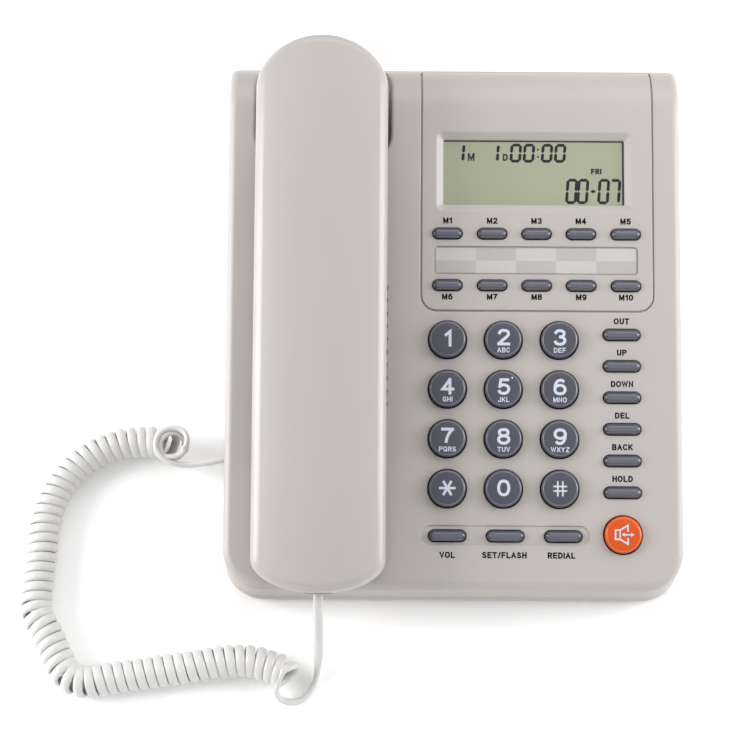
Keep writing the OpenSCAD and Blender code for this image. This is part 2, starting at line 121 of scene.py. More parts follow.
LINE_HOLE, LINE_SIZE = (-20, 20), (14, 12)
CORD_HOLE, CORD_SIZE = (-47.2, 14.5), (10, 9.2)
SCREWS, SCREW_R = [(x, y) for x in (-85, 85) for y in (-82, 90)], 3.3
VENTS, VENT_SIZE = [(x, 52 + 4.5 * i) for i in range(9) for x in (-28, 28)], (36, 1.8)
PLATE_MID, PLATE_SIZE, PLATE_DEPTH = (0, 12), (70, 36), 0.4
PANEL_X, PANEL_W, PANEL_F0, PANEL_GAP = 33.4, 92.4, 111, 0.6
PANEL_SEAT = 1.1
LCD_MID = (32.2, 167.5)
BEZEL_SIZE, LENS_SIZE = (78.4, 32.4), (72.8, 26.5)
INDEX_MID, INDEX_SIZE = (32.9, 131.2), (81.6, 11.4)

COIL_D, CORD_W, CORD_T, COIL_PITCH = 13, 3.9, 2.3, 4.0
COIL = [(-113.2, -41.8, 15.2), (-113.4, -40.9, 11.5), (-117, -39.2, 8.2), (-124, -37.9, 7),
        (-135, -38.9, 6.8), (-146, -43.1, 6.8), (-155, -50.7, 6.8), (-161, -60.7, 6.8),
        (-164.2, -72.7, 6.8), (-165, -85.7, 6.8), (-165.8, -98.7, 6.8), (-165.6, -109.2, 6.8),
        (-161, -117.7, 6.8), (-156.5, -126.7, 6.8), (-152, -134.2, 6.8), (-145, -137.1, 6.8),
        (-134, -135.5, 6.8), (-120, -133.3, 6.8), (-105, -131.1, 6.8), (-91, -128.7, 6.8),
        (-80, -128.5, 6.8), (-71.5, -130.9, 6.8), (-67.6, -132.5, 6.9), (-65.2, -134.5, 7.4),
        (-64.2, -136.4, 8.7), (-64, -137.9, 10.3)]
TAIL_BASE = [(-91, -47.2, 14.5), (-97.7, -48.3, 13), (-102, -48.6, 12), (-106.3, -48.9, 11),
             (-110.5, -48.9, 11.4), (-114.7, -48, 12.5), (-118.3, -45.8, 13.6),
             (-120.3, -42.3, 14.6), (-118.8, -37, 15.2), (-114, -34.4, 15.6),
             (-108.6, -35.8, 16), (-106.8, -40, 16.1)]
TAIL_HANDSET = [(-69.9, -139.5, 7), (-68.9, -142.2, 4.5), (-66.1, -143.6, 2.5),
                (-62.1, -143.9, 2), (-58.1, -142.1, 2), (-54.9, -137.6, 2.3),
                (-53.5, -133.2, 3), (-52.9, -125.5, 9), (-52.7, -119.5, 16), (-52.7, -115, 24),
                (-52.8, -111.5, 29.5), (-52.8, -107.06, 30.71)]
TAIL_START = (-108.6, -44.6, 15.8)
TURN_POINTS = 26


# ---- frames ----

def at(x, y, z):
    return Vector((x, y, z)) * MM


def on_face(x, f, h=0.0):
    """A point of the sloped face: across, up the slope, and off the face, in mm."""
    return at(x, FRONT_Y + f * math.cos(TILT) - h * math.sin(TILT),
              FRONT_H + f * math.sin(TILT) + h * math.cos(TILT))


def on_top(x, s, h=0.0):
    """A point of the face and of its roll over the back: s runs along the surface."""
    if s <= RIDGE_F:
        return on_face(x, s, h)
    turn = (s - RIDGE_F) / ROLL_R
    reach = ROLL_R + h
    return on_face(x, RIDGE_F + reach * math.sin(turn), reach * math.cos(turn) - ROLL_R)


def run_at(y):
    """How far along the surface the place above y lies."""
    if y <= FRONT_Y + RIDGE_F * math.cos(TILT):
        return (y - FRONT_Y) / math.cos(TILT)
    across = max(-1.0, min(1.0, (y - ROLL_Y) / ROLL_R))
    return RIDGE_F + ROLL_R * (math.pi / 2 + TILT - math.acos(across))


FACE_FRAME = Matrix.Translation(on_face(0, 0)) @ Matrix.Rotation(TILT, 4, "X")


# ---- meshes ----

class Shape:
    """Gathers rings and faces and turns them into one object."""

    def __init__(self):
        self.verts = []
        self.faces = []

    def ring(self, points):
        first = len(self.verts)
        self.verts.extend(points)
        return list(range(first, first + len(points)))

    def bridge(self, a, b, closed=True, skip=()):
        count = len(a)
        for i in range(count if closed else count - 1):
            if i not in skip:
                j = (i + 1) % count
                self.faces.append((a[i], a[j], b[j], b[i]))

    def rings(self, loops, closed=True, strip=None, skip=()):
        """Joins each loop of points to the next; the faces of one strip can be left out."""
        out = [self.ring(loop) for loop in loops]
        for number, (a, b) in enumerate(zip(out, out[1:])):
            self.bridge(a, b, closed, skip if number == strip else ())
        return out

    def cap(self, ring):
        self.faces.append(tuple(ring))

    def fill(self, outer, holes, place, rows=()):
        """Fills a flat outline round its holes; rows are lines that the faces follow."""
        loops = [outer] + list(holes)
        points, edges = [], []
        for loop in loops:
            first = len(points)
            points.extend(Vector(p) for p in loop)
            edges.extend((first + i, first + (i + 1) % len(loop)) for i in range(len(loop)))
        for a, b in rows:
            edges.append((len(points), len(points) + 1))
            points.extend((Vector(a), Vector(b)))
        verts, _, faces, _, _, _ = delaunay_2d_cdt(points, edges, [], 0, 1e-5)
        first = len(self.verts)
        self.verts.extend(place(v.x, v.y) for v in verts)
        for face in faces:
            mid = sum((verts[i] for i in face), Vector((0, 0))) / len(face)
            if within(mid, outer) and not any(within(mid, hole) for hole in holes):
                self.faces.append(tuple(first + i for i in face))

    def mesh(self, name):
        mesh = bpy.data.meshes.new(name)
        mesh.from_pydata([tuple(v) for v in self.verts], [], self.faces)
        return mesh

    def object(self, name, body, slot, material, sharp=40, weighted=True, node=None):
        """A piece with welded points and smooth faces, and the CAD node that it replaces."""
        mesh = self.mesh(name)
        work = bmesh.new()
        work.from_mesh(mesh)
        bmesh.ops.remove_doubles(work, verts=work.verts, dist=WELD)
        bmesh.ops.dissolve_degenerate(work, dist=WELD, edges=work.edges)
        loose = [v for v in work.verts if not v.link_faces]
        bmesh.ops.delete(work, geom=loose, context="VERTS")
        bmesh.ops.recalc_face_normals(work, faces=work.faces)
        work.to_mesh(mesh)
        work.free()
        mesh.shade_smooth()
        mesh.set_sharp_from_angle(angle=math.radians(sharp))
        mesh.materials.append(material)
        piece = bpy.data.objects.new(name, mesh)
        bpy.context.scene.collection.objects.link(piece)
        if weighted:
            even = piece.modifiers.new("even_normals", "WEIGHTED_NORMAL")
            even.keep_sharp = True
        if body:
            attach(piece, body)
        if node:
            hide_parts(node)
        return piece


def within(p, loop):
    """Whether a point lies in a closed loop, by counting crossings."""
    odd = False
    for (ax, ay), (bx, by) in zip(loop, loop[1:] + loop[:1]):
        if (ay > p[1]) != (by > p[1]) and p[0] < ax + (p[1] - ay) * (bx - ax) / (by - ay):
            odd = not odd
    return odd


def corner(edge, steps):
    """Inset and drop of each step of a rounded edge, from its wall to its surface."""
    turns = [math.pi / 2 * i / steps for i in range(steps + 1)]
    return [(edge * (1 - math.cos(turn)), edge * (1 - math.sin(turn))) for turn in turns]


def seam_steps(deep):
    """Insets and heights off a split line: the groove's back, its side and the edge."""
    return ((deep, 1.5), (deep, SEAM), (0.25, SEAM), (0, SEAM + 0.25))


def lift(loop, h, place):
    """A flat loop as points at one height off the face, or off what place says."""
    return [place(x, f, h) for x, f in loop]


def arc(mid, r, start, steps):
    """A quarter turn, anticlockwise from start, which is counted in quarters."""
    turns = [math.pi / 2 * (start + k / steps) for k in range(steps + 1)]
    return [(mid[0] + r * math.cos(turn), mid[1] + r * math.sin(turn)) for turn in turns]


def disc(mid, r, count=48):
    return [(mid[0] + r * math.cos(2 * math.pi * i / count),
             mid[1] + r * math.sin(2 * math.pi * i / count)) for i in range(count)]


def rounded(mid, size, r, steps=8):
    """Outline of a rectangle with round corners, anticlockwise."""
    out = []
    for quarter, (sx, sy) in enumerate(((1, 1), (-1, 1), (-1, -1), (1, -1))):
        centre = (mid[0] + sx * (size[0] / 2 - r), mid[1] + sy * (size[1] / 2 - r))
        out += arc(centre, r, quarter, steps)
    return out


def grown(mid, size, r, grow, steps=8):
    """The same outline moved outwards."""
    return rounded(mid, (size[0] + 2 * grow, size[1] + 2 * grow), r + grow, steps)


def pill(mid, size, grow=0.0, steps=10):
    long, wide = size[0] + 2 * grow, size[1] + 2 * grow
    return rounded(mid, (long, wide), wide / 2 - 1e-4, steps)


def rim(shape, outline, place, edge, depth, steps=3):
    """A hole's rounded edge and its wall. outline(grow) gives the loop; the widest is returned."""
    loops = [lift(outline(grow), -drop, place) for grow, drop in reversed(corner(edge, steps))]
    shape.rings(loops + [lift(outline(0), -depth, place)])
    return outline(edge)


# ---- materials ----

def material(name, colour, rough=0.4, grain=0.0, grain_mm=0.35, mottle=0.02, spread=0.04,
             coat=0.0, metal=0.0, transmission=0.0, alpha=1.0, shine=0.5):
    """A moulded surface: fine grain in bump and roughness, and a slight uneven colour."""
    mat = bpy.data.materials.new(name)
    mat.use_nodes = True
    nodes, links = mat.node_tree.nodes, mat.node_tree.links
    shader = nodes["Principled BSDF"]
    shader.inputs["Metallic"].default_value = metal
    shader.inputs["Coat Weight"].default_value = coat
    shader.inputs["Coat Roughness"].default_value = 0.12
    shader.inputs["Specular IOR Level"].default_value = shine
    shader.inputs["Transmission Weight"].default_value = transmission
    shader.inputs["Alpha"].default_value = alpha
    where = nodes.new("ShaderNodeTexCoord")

    def noise(size_mm, detail):
        tex = nodes.new("ShaderNodeTexNoise")
        tex.inputs["Scale"].default_value = 1 / (size_mm * MM)
        tex.inputs["Detail"].default_value = detail
        links.new(where.outputs["Object"], tex.inputs["Vector"])
        return tex.outputs["Fac"]

    def ranged(value, low, high):
        ramp = nodes.new("ShaderNodeMapRange")
        ramp.inputs["From Min"].default_value = 0.3
        ramp.inputs["From Max"].default_value = 0.7
        ramp.inputs["To Min"].default_value = low
        ramp.inputs["To Max"].default_value = high
        links.new(value, ramp.inputs["Value"])
        return ramp.outputs["Result"]

    cloud = noise(38, 3)
    tint = nodes.new("ShaderNodeMix")
    tint.data_type = "RGBA"
    tint.inputs[6].default_value = tuple(c * (1 - mottle) for c in colour) + (1,)
    tint.inputs[7].default_value = tuple(min(1, c * (1 + mottle)) for c in colour) + (1,)
    links.new(ranged(cloud, 0, 1), tint.inputs[0])
    links.new(tint.outputs[2], shader.inputs["Base Color"])
    fine = noise(grain_mm, 2)
    links.new(ranged(fine, rough - spread, rough + spread), shader.inputs["Roughness"])
    if grain:
        bump = nodes.new("ShaderNodeBump")
        bump.inputs["Strength"].default_value = grain
        bump.inputs["Distance"].default_value = 0.05 * MM
        links.new(fine, bump.inputs["Height"])
        links.new(bump.outputs["Normal"], shader.inputs["Normal"])
    return mat


def srgb(r, g, b):
    """A display colour of 0 to 255 as linear light."""
    def one(c):
        c /= 255
        return c / 12.92 if c <= 0.04045 else ((c + 0.055) / 1.055) ** 2.4
    return (one(r), one(g), one(b))


HOUSING = material("housing_plastic", srgb(174, 169, 165), 0.42, 0.35, 0.45, 0.012)
SHELL = material("handset_plastic", srgb(170, 165, 161), 0.34, 0.22, 0.45, 0.01, coat=0.15)
GREY = material("grey_key_plastic", srgb(70, 70, 82), 0.34, 0.18, 0.3, 0.03, coat=0.1)
# Painted highlight: a lighter copy of the grey key colour, laid on the keys' bevels where the light
# catches them.
GREY_KEY_RIM_HIGHLIGHT = material("grey_key_rim_painted_highlight", srgb(98, 101, 113), 0.3, 0.1, 0.3, 0.03, coat=0.2)
GLOSS = material("long_key_plastic", srgb(66, 66, 77), 0.24, 0.1, 0.3, 0.03, coat=0.2)
# Painted highlight: a lighter copy of the long key colour, laid on the keys' flat tops as the sheen
# of the lamps.
LONG_KEY_TOP_HIGHLIGHT = material("long_key_top_painted_highlight", srgb(90, 91, 104), 0.2, 0.1, 0.3, 0.03, coat=0.3)
ORANGE = material("orange_key_plastic", srgb(198, 74, 2), 0.36, 0.15, 0.3, 0.03, coat=0.15)
# Painted highlight: a lighter copy of the orange key colour, laid on the speaker key's bevel.
ORANGE_KEY_RIM_HIGHLIGHT = material("orange_key_rim_painted_highlight", srgb(212, 98, 28), 0.3, 0.1, 0.3, 0.03, coat=0.2)
LEGEND = material("pale_legend_ink", srgb(192, 198, 212), 0.5, 0.1, shine=0.2)
LABEL = material("dark_label_ink", srgb(10, 9, 11), 0.6, 0.1, shine=0.08)
BLACK = material("black_moulding", srgb(26, 26, 28), 0.45, 0.3)
RUBBER = material("foot_rubber", srgb(30, 30, 31), 0.75, 0.8, 0.25, 0.08)
STEEL = material("zinc_plating", srgb(170, 170, 174), 0.32, 0.25, 0.2, 0.04, metal=1.0)
CORD = material("vinyl_jacket", srgb(204, 203, 201), 0.34, 0.12, 0.6, 0.015, coat=0.12)
CLEAR = material("clear_moulding", srgb(225, 230, 232), 0.08, 0.0, transmission=0.85)
BOARD = material("solder_mask", srgb(18, 74, 40), 0.35, 0.3, 0.5, 0.08)
LCD = material("display_glass", srgb(154, 157, 134), 0.3, 0.05, 0.4, 0.01, shine=0.2)
# Painted shadow: a dark colour for the shade that the window's recess throws on the display.
WINDOW_SHADOW = material("display_mask", srgb(48, 48, 42), 0.5, 0.05, 0.4, 0.02, shine=0.1)
SEGMENT = material("display_segment", srgb(10, 22, 26), 0.5, 0.05, shine=0.05)
CARD = material("index_paper", srgb(186, 183, 179), 0.85, 0.5, 0.25, 0.01)
CARD_TINT = material("index_paper_tint", srgb(172, 168, 164), 0.85, 0.5, 0.25, 0.01)
LENS = material("window_acrylic", (0.6, 0.6, 0.6), 0.04, 0.0, alpha=0.02, shine=0.2)


# ---- camera, lights and floor ----

def studio():
    target = at(-31.3, -18, 35)
    turn, rise, distance = math.radians(0.39), math.radians(70.8), 0.9
    flat = math.cos(rise)
    eye = target + distance * Vector((math.sin(turn) * flat, -math.cos(turn) * flat,
                                      math.sin(rise)))
    data = bpy.data.cameras.new("camera")
    data.lens, data.sensor_width = 108, 36
    camera = bpy.data.objects.new("camera", data)
    camera.location = eye
    camera.rotation_euler = (target - eye).to_track_quat("-Z", "Y").to_euler()
    bpy.context.scene.collection.objects.link(camera)
    bpy.context.scene.camera = camera
    bpy.context.scene.view_settings.view_transform = "Standard"

    world = bpy.data.worlds.new("studio")
    world.use_nodes = True
    world.node_tree.nodes["Background"].inputs["Color"].default_value = (1.0, 1.0, 1.0, 1)
    world.node_tree.nodes["Background"].inputs["Strength"].default_value = 0.57
    bpy.context.scene.world = world

    def panel(name, place, size, power, aim=(0, 0, 0.03)):
        light = bpy.data.lights.new(name, "AREA")
        light.shape, light.size, light.size_y = "RECTANGLE", size[0], size[1]
        light.energy = power
        lamp = bpy.data.objects.new(name, light)
        lamp.location = place
        lamp.rotation_euler = (Vector(aim) - Vector(place)).to_track_quat("-Z", "Y").to_euler()
        lamp.visible_camera = False
        bpy.context.scene.collection.objects.link(lamp)

    panel("top_softbox", (0.1, 0.7, 0.9), (1.2, 0.7), 4.5, (0, 0.12, 0.05))
    panel("left_softbox", (-1.0, 0.0, 0.28), (0.5, 1.2), 16)
    panel("right_softbox", (1.0, 0.1, 0.28), (0.5, 1.2), 14)
    panel("front_softbox", (0.0, -1.2, 0.2), (1.2, 0.3), 2.3)

    ground = Shape()
    ground.faces.append(tuple(ground.ring([at(*p) for p in (
        (-9000, -9000, 0), (9000, -9000, 0), (9000, 9000, 0), (-9000, 9000, 0))])))
    mesh = ground.mesh("floor")
    sweep = material("floor_sweep", (0.96, 0.96, 0.96), 0.45, 0.0, 5, 0.003)
    sweep.node_tree.nodes["Principled BSDF"].inputs["Emission Color"].default_value = (1, 1, 1, 1)
    sweep.node_tree.nodes["Principled BSDF"].inputs["Emission Strength"].default_value = 0.1
    mesh.materials.append(sweep)
    floor = bpy.data.objects.new("floor", mesh)
    bpy.context.scene.collection.objects.link(floor)


# ---- cord ----

def spline(a, b, c, d, t):
    """The point a share t of the way from b to c, on the smooth curve through a, b, c and d."""
    return 0.5 * (2 * b + (c - a) * t + (2 * a - 5 * b + 4 * c - d) * t * t
                  + (3 * b - a - 3 * c + d) * t ** 3)


def curve_through(points, spacing):
    """Evenly spaced points of a smooth curve through the given ones, in mm."""
    pts = [Vector(p) for p in points]
    fine = []
    for i in range(len(pts) - 1):
        span = pts[max(i - 1, 0)], pts[i], pts[i + 1], pts[min(i + 2, len(pts) - 1)]
        fine += [spline(*span, k / 24) for k in range(24)]
    fine.append(pts[-1])
    total = sum((q - p).length for p, q in zip(fine, fine[1:]))
    count = max(2, round(total / spacing))
    out, gone, i = [fine[0]], 0.0, 0
    for k in range(1, count):
        goal = total * k / count
        while gone + (fine[i + 1] - fine[i]).length < goal:
            gone += (fine[i + 1] - fine[i]).length
            i += 1
        step = (fine[i + 1] - fine[i]).length
        out.append(fine[i].lerp(fine[i + 1], (goal - gone) / step))
    out.append(fine[-1])
    return out, total


def helix(spine, turns):
    """Points of a coil wound on a spine, with the spine's heading at each."""
    radius = (COIL_D - CORD_T) / 2
    count = round(turns * TURN_POINTS)
    side = None
    points, axes = [], []
    for k in range(count + 1):
        place = k / count * (len(spine) - 1)
        i = min(int(place), len(spine) - 2)
        mid = spine[i].lerp(spine[i + 1], place - i)
        low, high = spine[max(i - 2, 0)], spine[min(i + 3, len(spine) - 1)]
        axis = (high - low).normalized()
        if side is None:
            side = axis.cross(Vector((0, 1, 0))).normalized()
        side = (side - axis * side.dot(axis)).normalized()
        other = axis.cross(side)
        turn = 2 * math.pi * k / TURN_POINTS
        points.append(mid + radius * (math.cos(turn) * side + math.sin(turn) * other))
        axes.append(axis)
    return points, axes


def flat_tube(shape, points, flats, width, thick, sides=12):
    """A tube of rounded flat section; flats are the directions of its width."""
    loops = []
    for i, p in enumerate(points):
        ahead = (points[min(i + 1, len(points) - 1)] - points[max(i - 1, 0)]).normalized()
        across = (flats[i] - ahead * flats[i].dot(ahead)).normalized()
        up = ahead.cross(across)
        loop = []
        for k in range(sides):
            turn = 2 * math.pi * (k + 0.5) / sides
            c, s = math.cos(turn), math.sin(turn)
            x = math.copysign(abs(c) ** 0.9, c) * width / 2
            y = math.copysign(abs(s) ** 0.9, s) * thick / 2
            loop.append((p + across * x + up * y) * MM)
        loops.append(loop)
    rings = shape.rings(loops)
    shape.cap(rings[0])
    shape.cap(rings[-1][::-1])


def nearest(points, goal):
    return min(range(len(points)), key=lambda i: (points[i] - Vector(goal)).length)


def handset_cord():
    """The wound jacket from the base's socket to the handset, smoothed where it leaves the coil."""
    spine, total = curve_through(COIL, 0.8)
    coil, axes = helix(spine, total / COIL_PITCH)
    first = nearest(coil[:TURN_POINTS], TAIL_START)
    last = len(coil) - TURN_POINTS + nearest(coil[-TURN_POINTS:], TAIL_HANDSET[0])
    start, _ = curve_through(TAIL_BASE + [tuple(coil[first])], 0.8)
    end, _ = curve_through([tuple(coil[last])] + TAIL_HANDSET, 0.8)
    points = start[:-1] + coil[first:last] + end
    upright, level, leaning = Vector((0, 0, 1)), Vector((1, 0, 0)), Vector((0, -0.6, 0.8))
    rest = [leaning.lerp(level, ease((i / len(end) - 0.35) / 0.3)) for i in range(len(end))]
    flats = [upright] * (len(start) - 1) + axes[first:last] + rest
    wound = range(len(start) + 6, len(start) + last - first - 7)
    for _ in range(14):
        flats = [flats[0]] + [(a + b + c).normalized() for a, b, c in
                              zip(flats, flats[1:], flats[2:])] + [flats[-1]]
        points = [points[0]] + [b if i + 1 in wound else (a + 2 * b + c) / 4
                                for i, (a, b, c) in enumerate(zip(points, points[1:], points[2:]))
                                ] + [points[-1]]
    length = sum((q - p).length for p, q in zip(points, points[1:]))
    shape = Shape()
    flat_tube(shape, points, flats, CORD_W, CORD_T)
    piece = shape.object("handset_cord", None, "cord_jacket", CORD, 50, weighted=False)
    plug = Vector(TAIL_HANDSET[-1])
    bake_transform(piece)
    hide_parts("cord_coil", "cord_tail_handset", "cord_tail_base")


# ---- base ----

def plan_outline(inset):
    """Plan of the base, moved inwards; its sides carry rows that follow the roll."""
    rows = [FRONT_Y + 30, FRONT_Y + 90, FRONT_Y + 150]
    rows += [ROLL_Y + ROLL_R * math.cos(math.radians(a)) for a in range(102, 50, -8)]
    out = arc((HALF_W - CORNER_R, FRONT_Y + CORNER_R), CORNER_R - inset, 3, 12)
    out += [(HALF_W - inset, y) for y in rows]
    out += arc((HALF_W - BACK_CORNER_R, BACK_Y - BACK_CORNER_R), BACK_CORNER_R - inset, 0, 8)
    return out + [(-x, y) for x, y in reversed(out)]


def surface_z(y):
    return on_top(0, run_at(y)).z / MM


def digit_place(i):
    return DIGIT_COLS[i % 3], DIGIT_F0 + (3 - i // 3) * DIGIT_STEP


def memory_place(i):
    return MEMORY_COLS[i % 5], MEMORY_ROWS[i // 5]


def side_place(i):
    return SIDE_X, SIDE_F0 + i * SIDE_STEP


def front_place(i):
    return FRONT_COLS[i], FRONT_F


ROLL_END = RIDGE_F + ROLL_R * math.radians(62)
ROLL_ROWS = [RIDGE_F + ROLL_R * math.radians(a) for a in range(0, 70, 5)]


def panel_outline(grow):
    top = ROLL_END + grow
    low = PANEL_F0 - grow
    half = PANEL_W / 2 + grow
    out = []
    for (sx, cy, r, first) in ((1, top, 1.5 + grow, 0), (-1, top, 1.5 + grow, 1),
                               (-1, low, 6 + grow, 2), (1, low, 6 + grow, 3)):
        cx = PANEL_X + sx * (half - r)
        cy = cy - r if first < 2 else cy + r
        out += arc((cx, cy), r, first, 8)
        if first == 1:
            out += [(PANEL_X - half, s) for s in reversed(ROLL_ROWS[:-2])]
    out += [(PANEL_X + half, s) for s in ROLL_ROWS[:-2]]
    return out


def well(shape, mid_f, size, floor, edge, floor_holes=()):
    """A handset well: rounded lip, drafted wall and flat floor. Returns its lip outline."""
    def outline(grow):
        loop = grown((HS_X, mid_f), size, size[2], grow, 12)
        out = []
        for i, (a, b) in enumerate(zip(loop, loop[1:] + loop[:1])):
            out.append(a)
            if i % 13 == 12:
                out += [(a[0] + (b[0] - a[0]) * k / 14, a[1] + (b[1] - a[1]) * k / 14)
                        for k in range(1, 14)]
        return out

    def surface(f):
        """Height of the housing above the face plane, at f."""
        if f <= RIDGE_F:
            return 0.0
        return ROLL_R * (math.sqrt(max(0.0, 1 - ((f - RIDGE_F) / ROLL_R) ** 2)) - 1)

    end_f = RIDGE_F + ROLL_R * math.sin(math.acos(1 + floor / ROLL_R))
    base = [(x, min(f, end_f)) for x, f in outline(0)]
    loops = []
    for grow, drop in reversed(corner(edge, 4)):
        loop = []
        for (x, f), (bx, bf) in zip(outline(grow), base):
            f = min(f, end_f)
            share = min(1.0, (surface(f) - floor) / (3 * edge))
            run = bf + (f - bf) * share
            loop.append(on_face(bx + (x - bx) * share, run,
                                max(floor, surface(run) - drop * share)))
        loops.append(loop)
    lip = loops[0]
    for inset, rise in corner(WELL_FOOT_R, 4):
        loop = []
        for (x, f), (bx, bf) in zip(outline(-WELL_DRAFT - inset), base):
            f = min(f, end_f)
            share = min(1.0, max(0.0, (surface(f) - floor) / (3 * edge)))
            loop.append(on_face(bx + (x - bx) * share, bf + (f - bf) * share,
                                floor + rise * share))
        loops.append(loop)
    shape.rings(loops)

    def along(p):
        return (FACE_FRAME.inverted() @ p).y / MM

    flat = [(p.x / MM, along(p)) for p in loops[-1]]
    shape.fill(flat, floor_holes, lambda x, f: on_face(x, f, floor))
    out = []
    for p in lip:
        f = along(p)
        s = f if f <= RIDGE_F else RIDGE_F + ROLL_R * math.asin(min(1, (f - RIDGE_F) / ROLL_R))
        out.append((p.x / MM, s))
    return out


def socket_wall(shape, outline, mid, size, place):
    """A flat part of the wall round a socket's opening."""
    hole = rim(shape, lambda g: grown(mid, size, 0.6, g, 4), place, 0.25, 3)
    shape.fill(outline, [hole], place)


def housing_top():
    shape = Shape()
    loops = [[at(x, y, surface_z(y) - drop) for x, y in plan_outline(inset)]
             for inset, drop in corner(EDGE_R, 6)]
    wall = [lift(plan_outline(inset), SPLIT_Z + z, at) for inset, z in seam_steps(1.2)]
    half = len(plan_outline(0)) // 2
    left = next(i for i in range(half, 2 * half) if plan_outline(0)[i + 1][1] < CORD_HOLE[0])
    shape.rings(wall + loops, strip=3, skip=(half - 1, left))
    back = [(p.x / MM, p.z / MM) for p in (wall[3][half - 1], wall[3][half],
                                           loops[0][half], loops[0][half - 1])]
    socket_wall(shape, back, LINE_HOLE, LINE_SIZE, lambda x, z, h=0.0: at(x, BACK_Y + h, z))
    side = [(p.y / MM, p.z / MM) for p in (wall[3][left], wall[3][left + 1],
                                           loops[0][left + 1], loops[0][left])]
    socket_wall(shape, side, CORD_HOLE, CORD_SIZE, lambda y, z, h=0.0: at(-HALF_W - h, y, z))

    round_holes = [digit_place(i) for i in range(12)] + [SPEAKER_KEY]
    holes = [rim(shape, lambda g, m=mid: disc(m, DIGIT_R + KEY_GAP + g), on_top, 0.35, 3.5)
             for mid in round_holes]
    holes += [rim(shape, lambda g, m=side_place(i): pill(m, PILL_SIZE, KEY_GAP + g),
                  on_top, 0.3, 3.5) for i in range(6)]

    holes.append(rim(shape, lambda g: pill(TRAY_MID, TRAY_SIZE, g), on_top, 0.4, TRAY_DEPTH))
    front = [rim(shape, lambda g, m=front_place(i): pill(m, PILL_SIZE, KEY_GAP + g),
                 lambda x, s, h: on_top(x, s, h - TRAY_DEPTH), 0.3, 3) for i in range(3)]
    shape.fill(pill(TRAY_MID, TRAY_SIZE), front, lambda x, s: on_top(x, s, -TRAY_DEPTH))

    holes += [rim(shape, lambda g, f=SLOT_F0 + SLOT_STEP * i: pill((HS_X, f), SLOT_SIZE, g),
                  on_top, 0.3, 3) for i in range(10)]

    hook = rounded(HOOK_MID, HOOK_SIZE, 1, 3)
    shape.rings([lift(hook, h, on_face) for h in (EAR_FLOOR, EAR_FLOOR - 2)])
    holes.append(well(shape, EAR_WELL_F, EAR_WELL, EAR_FLOOR, WELL_LIP_R, [hook]))
    holes.append(well(shape, MOUTH_MID, MOUTH_WELL, MOUTH_FLOOR, WELL_LIP_R))

    holes.append(rim(shape, lambda g: panel_outline(PANEL_GAP + g), on_top, 0.5, PANEL_SEAT))
    shape.rings([lift(panel_outline(g), -PANEL_SEAT, on_top) for g in (PANEL_GAP, -1.5)])

    edge = [(x, run_at(y)) for x, y in plan_outline(EDGE_R)]
    wide = HALF_W - EDGE_R - 0.01
    rows = [((-wide, s), (wide, s)) for s in ROLL_ROWS if s < run_at(BACK_Y - EDGE_R - 2.5)]
    shape.fill(edge, holes, on_top, rows)
    shape.object("housing_top", "base", "housing", HOUSING, 50, node="base_top")


def housing_bottom():
    shape = Shape()
    bevel = 1.6
    loops = [lift(plan_outline(inset), SPLIT_Z - z, at) for inset, z in seam_steps(1.2)]
    loops += [lift(plan_outline(inset), FOOT_Z + rise, at) for inset, rise in corner(bevel, 5)]
    shape.rings(loops)

    def under(x, y, h=0.0):
        return at(x, y, FOOT_Z - h)

    holes = [rim(shape, lambda g, m=mid: disc(m, SCREW_R + g, 32), under, 0.3, 2.4)
             for mid in SCREWS]
    holes += [rim(shape, lambda g, m=mid: pill(m, VENT_SIZE, g), under, 0.25, 2.4)
              for mid in VENTS]
    plate = rounded(PLATE_MID, PLATE_SIZE, 2)
    holes.append(rim(shape, lambda g: plate, under, 0.01, PLATE_DEPTH))
    shape.fill(plate, [], lambda x, y: at(x, y, FOOT_Z + PLATE_DEPTH))
    shape.fill(plan_outline(bevel), holes, lambda x, y: at(x, y, FOOT_Z))
    shape.object("housing_bottom", "base", "housing", HOUSING, 50, node="base_bottom")


def display_surround():
    shape = Shape()
    edge = 0.4
    shape.rings([lift(panel_outline(0), -2.2, on_top)]
                + [lift(panel_outline(-inset), -drop, on_top) for inset, drop in corner(edge, 3)])
    holes = [rim(shape, lambda g, m=memory_place(i): pill(m, MEMORY_SIZE, KEY_GAP + g),
                 on_top, 0.3, 3) for i in range(10)]

    bezel = [rounded(LCD_MID, (size[0] + w, size[1] + l), r) for size, w, l, r in (
        (BEZEL_SIZE, 0.5, 0.5, 2.5), (BEZEL_SIZE, -0.1, -0.1, 2.3), (BEZEL_SIZE, -0.9, -0.9, 2.1),
        (LENS_SIZE, 2, 1.8, 1.1), (LENS_SIZE, 0.7, 0.6, 0.7), (LENS_SIZE, 0, 0, 0.5),
        (LENS_SIZE, 0, 0, 0.4))]
    depths = (0, -0.09, -0.4, -1.5, -1.85, -2.15, -4)
    shape.rings([lift(loop, h, on_top) for loop, h in zip(bezel, depths)])
    holes.append(bezel[0])

    def window(g):
        return grown(INDEX_MID, INDEX_SIZE, 1.8, g)

    holes.append(rim(shape, window, on_top, 0.3, 0.95))
    shape.fill(window(0), [], lambda x, s: on_top(x, s, -0.95))

    rows = [((PANEL_X - PANEL_W / 2 + 0.45, s), (PANEL_X + PANEL_W / 2 - 0.45, s))
            for s in ROLL_ROWS if s < ROLL_END - 1]
    shape.fill(panel_outline(-edge), holes, on_top, rows)
    shape.object("display_surround", "base", "housing", HOUSING, 50, node="display_panel")


# ---- display ----

SEGMENTS = {"0": "abcdef", "1": "bc", "7": "abc", "-": "g"}


